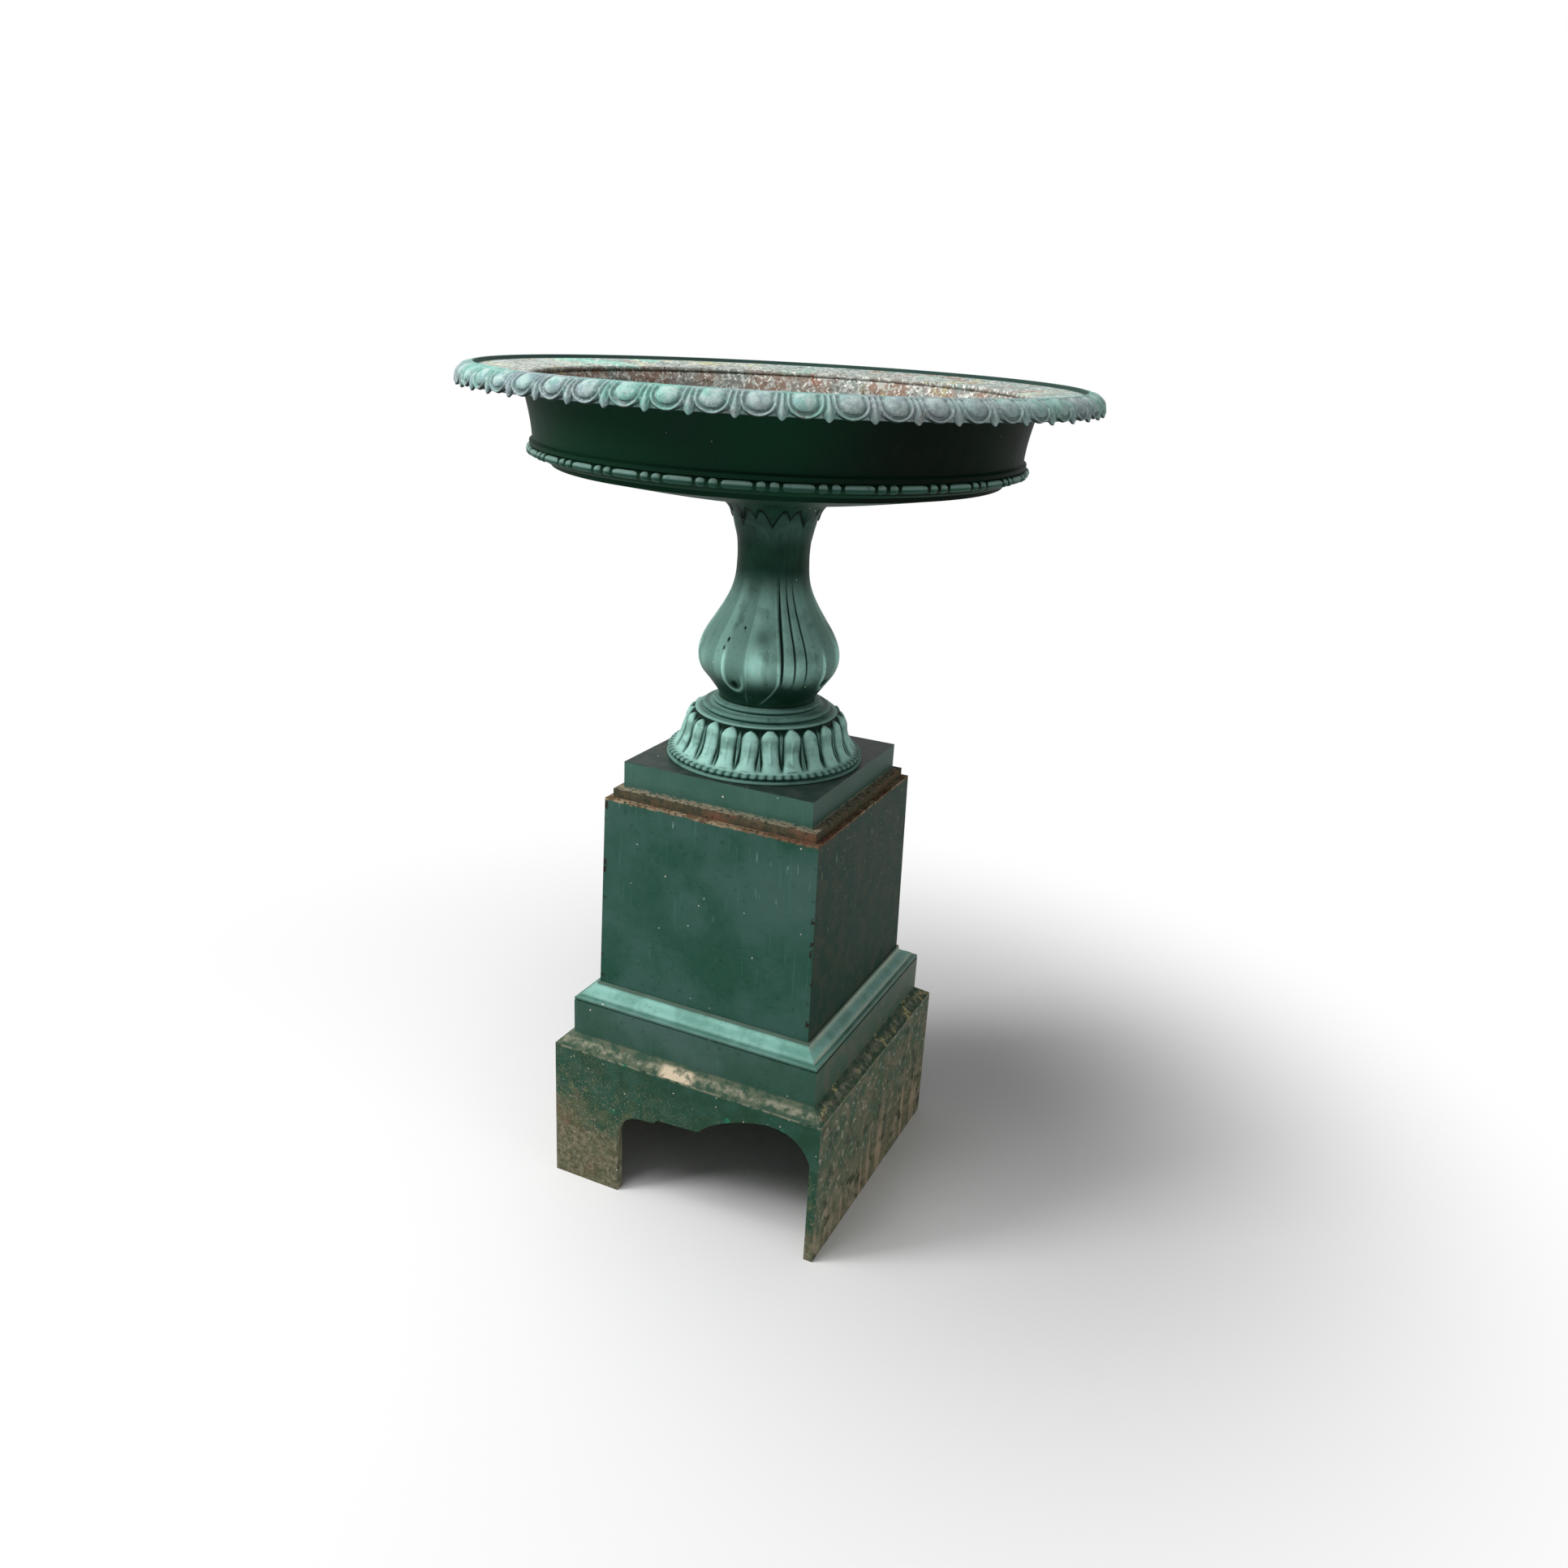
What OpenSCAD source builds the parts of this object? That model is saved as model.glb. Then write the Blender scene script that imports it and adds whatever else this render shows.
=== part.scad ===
// Cast iron garden tazza on a square pedestal. A shallow bowl with an egg and dart rim
// stands on a baluster stem, a leaf-cast socle and a square foot, all drawn together by one
// tie rod. The foot stands free on a hollow pedestal that is bolted up from flat castings.
// The front faces -Y, the right side +X, and the ground is z = 0. Millimetres.

/* [Plinth] */
// Width and depth of the plinth
plinth_w = 460; // [440:2:500]
// Height of the plinth walls
plinth_h = 237; // [225:1:270]
// Thickness of the plinth walls
plinth_wall = 14; // [10:1:18]
// Distance from the centre line to the left side of the front opening
opening_left = 114; // [90:1:150]
// Height of the opening over its low left part
opening_low = 157; // [120:1:170]
// Height of the opening under its arch at the right
opening_high = 212; // [195:1:216]
// Radius of the arch at the right
arch_r = 64; // [50:1:80]
// Radius of the rounded corner at the left
corner_r = 42; // [20:1:60]

/* [Base moulding] */
// Width of the plain band above the sloping ledge
band_w = 417; // [404:1:430]
// Height of the sloping ledge
wash_h = 15; // [8:1:25]
// Height of the plain band
band_h = 57; // [50:1:80]
// Height of the curved moulding between the band and the die
cyma_h = 28; // [22:1:40]
// Thickness of the moulding's walls and of its upper flange
moulding_wall = 14; // [10:1:16]

/* [Die] */
// Width of the die at its foot
die_w = 359; // [340:1:366]
// How far each face of the die leans in over its height
die_batter = 4.6; // [0:0.2:8]
// Height of the die
die_h = 307; // [240:1:380]
// Thickness of the die panels at the top
die_wall = 14; // [10:1:18]
// Width of the loose plate that closes the top of the die
top_plate_w = 332; // [326:1:345]
// Thickness of that plate
top_plate_t = 14; // [12:1:20]
// Radius of the drain hole in that plate
plate_drain_r = 20; // [10:1:40]

/* [Foot and socle] */
// Width of the square foot
foot_w = 309; // [304:1:318]
// Height of the square foot
foot_h = 41; // [38:1:60]
// Thickness of the foot's walls
foot_wall = 12; // [8:1:14]
// Height of the socle
socle_h = 92; // [80:1:110]
// Radius of the socle's lowest ring
socle_r = 149; // [144:0.5:151]
// Number of leaves round the socle
leaf_count = 24; // [12:1:30]

/* [Stem] */
// Height of the stem
stem_h = 297; // [260:1:340]
// Radius of the waist where the stem meets the socle
waist_r = 72; // [66:0.5:76]
// Largest radius of the bulb
bulb_r = 106.5; // [96:0.5:115]
// Radius of the neck
neck_r = 53.5; // [46:0.5:60]
// Radius of the flange under the bowl
stem_top_r = 84; // [80:0.5:90]
// Thickness of the stem's wall
stem_wall = 9; // [7:0.5:12]
// Number of pointed leaves on the collar under the bowl
collar_leaves = 8; // [6:1:12]

/* [Bowl] */
// Radius of the bowl's wall at its waist, just above the bead
bowl_r = 343; // [320:1:366]
// Height of the bowl from its seat on the stem to its flange
bowl_h = 148; // [115:1:150]
// Thickness of the bowl
bowl_wall = 10; // [8:0.5:13]
// Rise of the underside from the seat to the step under the bead
dome_rise = 36; // [28:1:44]
// Radius of the bead
bead_r = 5; // [3:0.5:6]
// Radius of the circle of drain holes
drain_circle_r = 60; // [50:1:66]
// Radius of a drain hole
drain_r = 8; // [5:0.5:9]

/* [Rim] */
// How far the rim stands out from the bowl's waist
rim_reach = 101; // [90:1:112]
// Height of the rim from its lower lip to its crest
rim_h = 27; // [26:1:50]
// Radius of the rim's quarter round
round_r = 22; // [20:0.5:26]
// How far the lip hangs below the rim's seat, so that it hides the flange and its screws
rim_drop = 7; // [4:0.5:9]
// Thickness of the rim at its inner edge
rim_edge = 7; // [5:0.5:9]
// Number of eggs round the rim
egg_count = 54; // [48:2:56]
// Number of screws that hold the rim
rim_screws_n = 12; // [6:1:18]

/* [Tie rod] */
// Radius of the tie rod
rod_r = 10; // [8:0.5:12]
// Thickness of the washers
washer_t = 4; // [3:0.5:6]
// Thickness of the nuts
nut_t = 16; // [13:0.5:18]

/* [Small bolts] */
// Radius of the small bolts and screws
bolt_r = 4; // [3:0.5:5]
// Length of a corner bracket's legs
bracket_leg = 50; // [46:1:60]
// Thickness of the corner brackets
bracket_t = 6; // [4:0.5:7]

/* [Hidden] */
$fn = 96;

// Clearance of a bolt in its hole, and of the tie rod in the castings
fit = 0.1;
rod_clear = 0.5;
// Gap between a loose ring and the surface that it surrounds
ring_gap = 0.3;

// Heights of the joints between the castings
z_moulding = plinth_h;
z_band = z_moulding + wash_h;
z_cyma = z_band + band_h;
z_die = z_cyma + cyma_h;
z_top_plate = z_die + die_h;
z_foot = z_top_plate + top_plate_t;
z_socle = z_foot + foot_h;
z_stem = z_socle + socle_h;
z_seat = z_stem + stem_h;
z_flange = z_seat + bowl_h;

// Inner faces that the corner brackets lie against
plinth_in = plinth_w / 2 - plinth_wall;
die_in = die_w / 2 - die_batter - die_wall;

// Small bolts: hexagon head, how deep they enter a wall, where they stand in a bracket, and
// the gap between a gusset bolt's head and the bracket's legs
bolt_head_r = 1.88 * bolt_r;
bolt_head_h = 1.3 * bolt_r;
bolt_bite = 8;
leg_bolt_at = bracket_leg - bolt_head_r - 5;
head_gap = 1;
gusset_bolt_at = bracket_t + bolt_head_r + head_gap;
plinth_bracket_h = 24;
die_bracket_h = 40;

// Sizes of the tie rod's hardware
nut_r = 1.8 * rod_r;
washer_r = 2.3 * rod_r;
rod_end = 6;
boss_h = 6;

// Flange of the bowl, and where its screws stand outside the wall's waist
flange_t = 7;
flange_reach = 34;
rim_screw_at = 23;

// Height of the rim's lip, centre of its quarter round over the lip, and where the eggs sit
z_rim = z_flange - rim_drop;
round_at = bowl_r + rim_reach - round_r;
round_z = rim_h - 1 - round_r;
egg_tilt = 38;
egg_phase = -0.1;

paint = [0.16, 0.31, 0.25];
verdigris = [0.50, 0.70, 0.66];
rust = [0.42, 0.32, 0.25];
steel = [0.45, 0.45, 0.43];

// Points along an arc about c from angle a0 to angle a1
function arc(c, r, a0, a1, n = 8) =
    [for (i = [0:n]) let (a = a0 + (a1 - a0) * i / n) c + r * [cos(a), sin(a)]];

// Points along a cubic curve from p to s with the handles q and r
function curve(p, q, r, s, n = 10) =
    [for (i = [0:n]) let (t = i / n, u = 1 - t)
        u * u * u * p + 3 * u * u * t * q + 3 * u * t * t * r + t * t * t * s];

function reversed(list) = [for (i = [len(list) - 1:-1:0]) list[i]];

// Solid of square plan whose half width follows a profile of [half width, height] points
module square_solid(profile) {
    outline = concat(profile, reversed([for (p = profile) [-p[0], p[1]]]));
    reach = 2 * max([for (p = profile) p[0]]) + 2;
    intersection() {
        rotate([90, 0, 0]) linear_extrude(reach, center = true) polygon(outline);
        rotate([90, 0, 90]) linear_extrude(reach, center = true) polygon(outline);
    }
}

// Box of square plan centred on the axis
module square_box(half, z0, z1) {
    translate([-half, -half, z0]) cube([2 * half, 2 * half, z1 - z0]);
}

module at_corners() {
    for (i = [0:3]) rotate([0, 0, 90 * i]) children();
}

// Bolt whose head rests on z = 0 and whose shank points along +Z
module bolt(length, r = bolt_r) {
    translate([0, 0, -bolt_head_h]) cylinder(r = bolt_head_r, h = bolt_head_h, $fn = 6);
    cylinder(r = r, h = length, $fn = 32);
}

// Corner bracket at the +X +Y corner of a hollow, its gusset flush with z = 0 above it
module corner_bracket(inside, h) {
    difference() {
        union() {
            translate([inside - bracket_leg, inside - bracket_t, -h])
                cube([bracket_leg, bracket_t, h]);
            translate([inside - bracket_t, inside - bracket_leg, -h])
                cube([bracket_t, bracket_leg, h]);
            translate([inside, inside, -bracket_t]) linear_extrude(bracket_t)
                polygon([[0, 0], [-bracket_leg, 0], [0, -bracket_leg]]);
        }
        leg_bolts(inside, h, bolt_r + fit);
        translate([inside - gusset_bolt_at, inside - gusset_bolt_at, -h])
            cylinder(r = bolt_r + fit, h = h + 1, $fn = 32);
    }
}

// The two bolts that pass a bracket's legs into the walls, for one corner
module leg_bolts(inside, h, r = bolt_r) {
    z = -(h + bracket_t) / 2;
    translate([inside - leg_bolt_at, inside - bracket_t, z]) rotate([-90, 0, 0])
        bolt(bracket_t + bolt_bite, r);
    translate([inside - bracket_t, inside - leg_bolt_at, z]) rotate([0, 90, 0])
        bolt(bracket_t + bolt_bite, r);
}

// Bolt through a gusset into the casting beyond it, for one corner
module gusset_bolt(inside, r = bolt_r) {
    translate([inside - gusset_bolt_at, inside - gusset_bolt_at, -bracket_t])
        bolt(bracket_t + bolt_bite, r);
}

// Outline of the opening in the front wall: low at the left, then rising to an arch that
// runs past the end of the wall, so that the side wall's own edge closes it at the right
module opening_outline() {
    right = plinth_in + 3;
    rise_at = 30;
    polygon(concat(
        [[right, -1], [-opening_left, -1]],
        arc([corner_r - opening_left, opening_low - 10 - corner_r], corner_r, 180, 90),
        [[-48, opening_low - 8], [-43, opening_low - 1]],
        curve([rise_at, opening_low + 3], [rise_at + 12, opening_low + 20],
            [rise_at + 55, opening_high - 8], [right - arch_r - 12, opening_high], 8),
        arc([right - arch_r, opening_high - arch_r], arch_r, 90, 0)));
}

// Plinth wall without holes, upright on the X axis with its outer face on -Y
module plinth_panel(half) {
    translate([-half, -plinth_w / 2, 0]) cube([2 * half, plinth_wall, plinth_h]);
}

// Room for the bolts of the four corners of the plinth
module plinth_bolt_holes() {
    translate([0, 0, plinth_h]) at_corners() leg_bolts(plinth_in, plinth_bracket_h, bolt_r + fit);
}

module plinth_front() {
    color(paint) difference() {
        plinth_panel(plinth_in);
        rotate([90, 0, 0]) linear_extrude(plinth_w) opening_outline();
        plinth_bolt_holes();
    }
}

module plinth_back() {
    color(paint) difference() {
        rotate([0, 0, 180]) plinth_panel(plinth_in);
        plinth_bolt_holes();
    }
}

module plinth_right() {
    color(paint) difference() {
        rotate([0, 0, 90]) plinth_panel(plinth_w / 2);
        plinth_bolt_holes();
    }
}

module plinth_left() {
    color(paint) difference() {
        rotate([0, 0, -90]) plinth_panel(plinth_w / 2);
        plinth_bolt_holes();
    }
}

module plinth_brackets() {
    color(rust) translate([0, 0, plinth_h]) at_corners()
        corner_bracket(plinth_in, plinth_bracket_h);
}

module plinth_bolts() {
    color(steel) translate([0, 0, plinth_h]) at_corners() {
        leg_bolts(plinth_in, plinth_bracket_h);
        gusset_bolt(plinth_in);
    }
}

// One casting from the sloping ledge to the top of the curved moulding, hollow from below,
// with a flange round its upper opening that the die stands on
module base_moulding() {
    quirk = 3.5;
    half = band_w / 2;
    top_half = die_w / 2 + 3;
    cyma_foot = z_cyma + 2 * quirk;
    cyma_head = z_die - 4;
    hole = die_in - bracket_leg / 2 - 5;
    color(paint) difference() {
        square_solid(concat(
            [[plinth_w / 2, z_moulding], [half, z_band], [half, z_cyma]],
            arc([half - quirk, z_cyma + quirk], quirk, -90, 90, 6),
            curve([half - 2 * quirk, cyma_foot], [half - 2 * quirk, (cyma_foot + cyma_head) / 2],
                [top_half, (cyma_foot + cyma_head) / 2], [top_half, cyma_head], 10),
            [[top_half, z_die]]));
        square_box(half - moulding_wall, z_moulding - 1, z_cyma - moulding_wall);
        square_box(top_half - moulding_wall, z_cyma - moulding_wall - 1, z_die - moulding_wall);
        square_box(hole, z_die - moulding_wall - 1, z_die + 1);
        translate([0, 0, z_moulding]) at_corners() gusset_bolt(plinth_in, bolt_r + fit);
        translate([0, 0, z_die]) mirror([0, 0, 1]) at_corners() gusset_bolt(die_in, bolt_r + fit);
    }
}

// Front panel of the die, mitred to its neighbours, turned about the axis for the others
module die_panel(turn) {
    color(paint) difference() {
        rotate([0, 0, turn]) intersection() {
            square_solid([[die_w / 2, z_die], [die_w / 2 - die_batter, z_top_plate]]);
            translate([0, 0, z_die]) linear_extrude(die_h)
                polygon([[0, 0], [-die_w, -die_w], [die_w, -die_w]]);
        }
        square_box(die_in, z_die - 1, z_top_plate + 1);
        die_leg_bolts(bolt_r + fit);
    }
}

// Leg bolts of the four lower and the four upper brackets of the die
module die_leg_bolts(r = bolt_r) {
    translate([0, 0, z_top_plate]) at_corners() leg_bolts(die_in, die_bracket_h, r);
    translate([0, 0, z_die]) mirror([0, 0, 1]) at_corners() leg_bolts(die_in, die_bracket_h, r);
}

module die_front() { die_panel(0); }
module die_right() { die_panel(90); }
module die_back() { die_panel(180); }
module die_left() { die_panel(-90); }

module die_brackets_lower() {
    color(rust) translate([0, 0, z_die]) mirror([0, 0, 1]) at_corners()
        corner_bracket(die_in, die_bracket_h);
}

module die_brackets_upper() {
    color(rust) translate([0, 0, z_top_plate]) at_corners()
        corner_bracket(die_in, die_bracket_h);
}

module die_bolts() {
    color(steel) {
        die_leg_bolts();
        translate([0, 0, z_die]) mirror([0, 0, 1]) at_corners() gusset_bolt(die_in);
    }
}

// Countersunk screw whose head is flush with z = 0 and whose shank points down
module countersunk(length, gap) {
    head = 2 * bolt_r;
    translate([0, 0, -head + bolt_r - gap]) cylinder(r1 = bolt_r, r2 = head, h = bolt_r + gap, $fn = 32);
    translate([0, 0, -length]) cylinder(r = bolt_r + gap, h = length, $fn = 32);
}

module plate_screws(gap = 0) {
    at = die_in - gusset_bolt_at;
    translate([0, 0, z_foot]) at_corners() translate([at, at, 0])
        countersunk(top_plate_t + bracket_t + 2, gap);
}

module top_plate() {
    color(rust) difference() {
        square_box(top_plate_w / 2, z_top_plate, z_foot);
        translate([0, 0, z_top_plate - 1]) cylinder(r = plate_drain_r, h = top_plate_t + 2);
        plate_screws(fit);
    }
}

module top_plate_screws() {
    color(steel) plate_screws();
}

// Square foot, cast as an inverted tray
module foot_plate() {
    color(paint) difference() {
        square_box(foot_w / 2, z_foot, z_socle);
        square_box(foot_w / 2 - foot_wall, z_foot - 1, z_socle - foot_wall);
        translate([0, 0, z_foot]) cylinder(r = rod_r + rod_clear, h = foot_h + 1, $fn = 48);
        for (i = [0:3]) rotate([0, 0, 45 + 90 * i]) translate([drain_circle_r, 0, z_foot])
            cylinder(r = drain_r, h = foot_h + 1, $fn = 48);
    }
}

// Bell of upright leaves between two ring mouldings and a bead
module socle() {
    leaf_top = socle_h - 22;
    leaf_foot = 14;
    top_r = waist_r + 39;
    foot_r = socle_r - 8;
    wall = 9;
    color(paint) difference() {
        translate([0, 0, z_socle]) rotate_extrude() {
            polygon(concat(
                [[0, 0], [socle_r, 0], [socle_r, 3], [socle_r - 3, 5], [foot_r, 6], [foot_r, 11]],
                curve([foot_r - 2, leaf_foot], [top_r + 14, leaf_foot + 10],
                    [top_r + 8, leaf_foot + 30], [top_r, leaf_top], 8),
                [[top_r - 7, leaf_top + 3], [waist_r + 14, socle_h - 13], [waist_r + 7, socle_h - 8],
                    [waist_r, socle_h - 1], [waist_r, socle_h], [0, socle_h]]));
            translate([foot_r - 1, 9]) circle(r = 4.5, $fn = 32);
            translate([waist_r + 17, socle_h - 15]) circle(r = 6, $fn = 32);
            translate([waist_r + 5, socle_h - 6]) circle(r = 5, $fn = 32);
        }
        translate([0, 0, z_socle]) rotate_extrude()
            polygon([[0, -1], [foot_r - wall - 6, -1], [foot_r - wall - 6, 8], [top_r - 2, leaf_foot + 16],
                [top_r - wall, leaf_top - wall], [waist_r - 10, socle_h - wall - 4],
                [waist_r - stem_wall - 8, socle_h - wall], [waist_r - stem_wall - 8, socle_h + 1],
                [0, socle_h + 1]]);
        leaf_grooves(leaf_foot, leaf_top, top_r, foot_r);
    }
}

// Grooves between the leaves of the socle, deep at their heads, with a notch over each
module leaf_grooves(z0, z1, r_top, r_foot) {
    lean = atan2(r_foot - r_top - 12, z1 - z0 - 14);
    for (i = [0:leaf_count - 1]) rotate([0, 0, (i + 0.5) * 360 / leaf_count]) {
        translate([r_top + 7, 0, z_socle + z1 - 12]) rotate([0, 180 - lean, 0])
            cylinder(r = 2.6, h = z1 - z0 - 14, $fn = 16);
        translate([r_top + 7, 0, z_socle + z1 - 12]) sphere(r = 2.6, $fn = 16);
        translate([r_top - 10, 0, z_socle + z1]) rotate([0, 90, 0]) cylinder(r = 5, h = 30, $fn = 24);
    }
}

// Outline of the stem from its waist to its neck, drawn in by inset
function stem_lower(inset) = concat(
    curve([waist_r - inset, 0], [waist_r - inset, 12], [bulb_r - inset, stem_h * 0.22 - 25],
        [bulb_r - inset, stem_h * 0.22]),
    curve([bulb_r - inset, stem_h * 0.22], [bulb_r - inset, stem_h * 0.22 + 43],
        [neck_r - inset, stem_h * 0.715 - 80], [neck_r - inset, stem_h * 0.715], 14));

// Outline of the stem from its neck to its top
function stem_upper(inset) =
    curve([neck_r - inset, stem_h * 0.715], [neck_r - inset, stem_h * 0.86],
        [neck_r + 8 - inset, stem_h * 0.965], [stem_top_r - inset, stem_h - 2]);

module stem() {
    outer = concat(stem_lower(0), stem_upper(0), [[stem_top_r, stem_h]]);
    inner = concat(stem_lower(stem_wall), stem_upper(stem_wall), [[stem_top_r - stem_wall, stem_h]]);
    color(paint) translate([0, 0, z_stem]) rotate_extrude()
        polygon(concat(outer, reversed(inner)));
}

// Collar of pointed leaves that hangs from the bowl's seat round the top of the stem
module leaf_collar() {
    thick = 6;
    drop = 32;
    shell = concat(stem_upper(-ring_gap), [[stem_top_r + ring_gap, stem_h]],
        [[stem_top_r + thick, stem_h]], reversed(stem_upper(-thick)));
    notch_r = PI * (neck_r + thick) / collar_leaves - 1;
    color(paint) translate([0, 0, z_stem]) difference() {
        rotate_extrude() polygon(shell);
        translate([0, 0, -1]) cylinder(r = 2 * stem_top_r, h = stem_h - drop + 1);
        for (i = [0:collar_leaves - 1]) rotate([0, 0, i * 360 / collar_leaves])
            translate([0, 0, stem_h - drop]) rotate([0, 90, 0])
                cylinder(r = notch_r, h = 2 * stem_top_r, $fn = 48);
    }
}

// Shallow bowl: seat, underside, step, bead, waisted wall and the flange that carries the rim
module bowl() {
    seat_r = stem_top_r + 11;
    step_r = bowl_r - 25;
    flange_r = bowl_r + flange_reach;
    bead_z = dome_rise + 20;
    neck_z = bead_z + 15;
    color(paint) translate([0, 0, z_seat]) difference() {
        rotate_extrude($fn = 180) {
            polygon(concat(
                [[0, 0], [seat_r, 0]],
                curve([seat_r + 1, 1], [seat_r + 80, dome_rise * 0.2], [step_r - 60, dome_rise * 0.7],
                    [step_r, dome_rise], 8),
                [[step_r, dome_rise + 6], [step_r + 6, dome_rise + 7]],
                arc([step_r + 6, bead_z - 1], 12, -90, 0, 4),
                [[bowl_r - 1, bead_z - 1], [bowl_r, bead_z + bead_r], [bowl_r + 4, bead_z + 7],
                    [bowl_r + 4, bead_z + 12]],
                curve([bowl_r, neck_z], [bowl_r + 1, neck_z + 22], [bowl_r + 6, bowl_h - 34],
                    [bowl_r + 13, bowl_h - flange_t], 8),
                [[flange_r, bowl_h - flange_t], [flange_r, bowl_h], [bowl_r - 1, bowl_h]],
                curve([bowl_r - 1, bowl_h - 1], [bowl_r - bowl_wall, bowl_h - 14],
                    [bowl_r - bowl_wall, neck_z + 20], [bowl_r - bowl_wall, neck_z], 6),
                arc([bowl_r - bowl_wall - 26, dome_rise + bowl_wall + 26], 26, 0, -80, 6),
                curve([step_r - 40, dome_rise * 0.86 + bowl_wall], [step_r - 90, dome_rise * 0.6 + bowl_wall],
                    [seat_r + 70, dome_rise * 0.1 + bowl_wall], [seat_r, bowl_wall], 6),
                [[4 * rod_r, bowl_wall], [4 * rod_r - boss_h, bowl_wall + boss_h], [0, bowl_wall + boss_h]]));
            translate([bowl_r + 7 - bead_r, bead_z]) circle(r = bead_r, $fn = 32);
        }
        translate([0, 0, -1]) cylinder(r = rod_r + rod_clear, h = bowl_h, $fn = 48);
        for (i = [0:3]) rotate([0, 0, 45 + 90 * i]) translate([drain_circle_r, 0, -1])
            cylinder(r = drain_r, h = bowl_wall + 2, $fn = 48);
        translate([0, 0, -z_seat]) rim_fixings(bolt_r + fit);
    }
}

// Screws that pass the bowl's flange from below into the rim
module rim_fixings(r = bolt_r) {
    for (i = [0:rim_screws_n - 1]) rotate([0, 0, i * 360 / rim_screws_n])
        translate([bowl_r + rim_screw_at, 0, z_flange - flange_t]) bolt(flange_t + bolt_bite, r);
}

module rim_screws() {
    color(steel) rim_fixings();
}

// Turns the children to each egg, or to the gaps between them when part is 0.5, with +Z out
// of the quarter round and +X down along it
module at_eggs(part) {
    for (i = [0:egg_count - 1]) rotate([0, 0, (i + part + egg_phase) * 360 / egg_count])
        translate([round_at, 0, round_z]) rotate([0, 90 - egg_tilt, 0]) children();
}

// Section of the rim: slope into the bowl, thin crest, quarter round and a hollow underside
module rim_section() {
    outer = bowl_r + rim_reach;
    crest = round_at;
    seat_end = bowl_r + flange_reach + 2;
    polygon([[bowl_r, rim_drop], [seat_end, rim_drop], [seat_end + 5, rim_drop + 5],
        [crest - 12, rim_h - 10], [crest - 7, rim_h - 15], [crest - 7, -3], [outer - 8, -3],
        [outer - 5, 2], [crest + 3, rim_h - 3], [crest + 1, rim_h], [crest - 5, rim_h],
        [bowl_r, rim_drop + rim_edge]]);
    intersection() {
        translate([round_at, round_z]) circle(r = round_r);
        translate([crest - 6, 0]) square([2 * round_r, rim_h]);
    }
}

// Dart: narrow between the eggs, widest low down, with a blunt tip that hangs below the lip
module dart() {
    head = 15;
    tip = 19.5;
    intersection() {
        linear_extrude(rim_h + round_r)
            polygon([[-head, -1.8], [-head, 1.8], [11, 5.4], [tip, 0], [11, -5.4]]);
        rotate([90, 0, 0]) linear_extrude(head, center = true)
            polygon([[-head, round_r - 12], [-head, round_r - 7], [0, round_r + 2.3],
                [9, round_r + 0.6], [tip, round_r - 10.5], [6, round_r - 18]]);
    }
}

// Notch on both sides of a dart, which leaves a rounded frame under each egg
module notch() {
    translate([0, 0, round_r - 16]) linear_extrude(round_r)
        polygon([[8.5, 0], [17.8, 19.5], [30, 19.5], [30, -19.5], [17.8, -19.5]]);
}

// Rim: a quarter round cut into hollows that hold the eggs, with a dart between each pair
module rim_ring() {
    egg_r = 13;
    hollow_r = 19;
    color(verdigris) translate([0, 0, z_rim]) difference() {
        union() {
            difference() {
                rotate_extrude($fn = 180) rim_section();
                at_eggs(0) translate([0, 0, round_r + 6]) sphere(r = hollow_r, $fn = 32);
                at_eggs(0.5) notch();
            }
            at_eggs(0) translate([0, 0, round_r - 11]) sphere(r = egg_r, $fn = 32);
            at_eggs(0.5) dart();
        }
        translate([0, 0, -z_rim]) rim_fixings(bolt_r + fit);
    }
}

module tie_rod() {
    bottom = z_socle - foot_wall - washer_t - nut_t - rod_end;
    top = z_seat + bowl_wall + boss_h + washer_t + nut_t + rod_end;
    color(steel) translate([0, 0, bottom]) cylinder(r = rod_r, h = top - bottom, $fn = 48);
}

// Ring on the tie rod: round for a washer, six-sided for a nut
module rod_ring(r, h, sides) {
    difference() {
        cylinder(r = r, h = h, $fn = sides);
        translate([0, 0, -1]) cylinder(r = rod_r + fit, h = h + 2, $fn = 48);
    }
}

module rod_washers() {
    color(steel) {
        translate([0, 0, z_seat + bowl_wall + boss_h]) rod_ring(washer_r, washer_t, 64);
        translate([0, 0, z_socle - foot_wall - washer_t]) rod_ring(washer_r, washer_t, 64);
    }
}

module rod_nuts() {
    color(steel) {
        translate([0, 0, z_seat + bowl_wall + boss_h + washer_t]) rod_ring(nut_r, nut_t, 6);
        translate([0, 0, z_socle - foot_wall - washer_t - nut_t]) rod_ring(nut_r, nut_t, 6);
    }
}

plinth_front();
plinth_right();
plinth_back();
plinth_left();
plinth_brackets();
plinth_bolts();
base_moulding();
die_front();
die_right();
die_back();
die_left();
die_brackets_lower();
die_brackets_upper();
die_bolts();
top_plate();
top_plate_screws();
foot_plate();
socle();
stem();
leaf_collar();
bowl();
rim_ring();
rim_screws();
tie_rod();
rod_washers();
rod_nuts();
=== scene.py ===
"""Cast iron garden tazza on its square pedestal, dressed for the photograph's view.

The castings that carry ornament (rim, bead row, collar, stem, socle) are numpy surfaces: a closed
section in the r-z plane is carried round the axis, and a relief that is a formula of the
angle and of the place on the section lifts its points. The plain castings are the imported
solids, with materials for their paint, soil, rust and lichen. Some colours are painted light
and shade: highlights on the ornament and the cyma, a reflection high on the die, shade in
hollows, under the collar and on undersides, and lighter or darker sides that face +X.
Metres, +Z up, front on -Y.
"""
import math

import bpy
import numpy as np
from mathutils import Matrix, Vector


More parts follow.
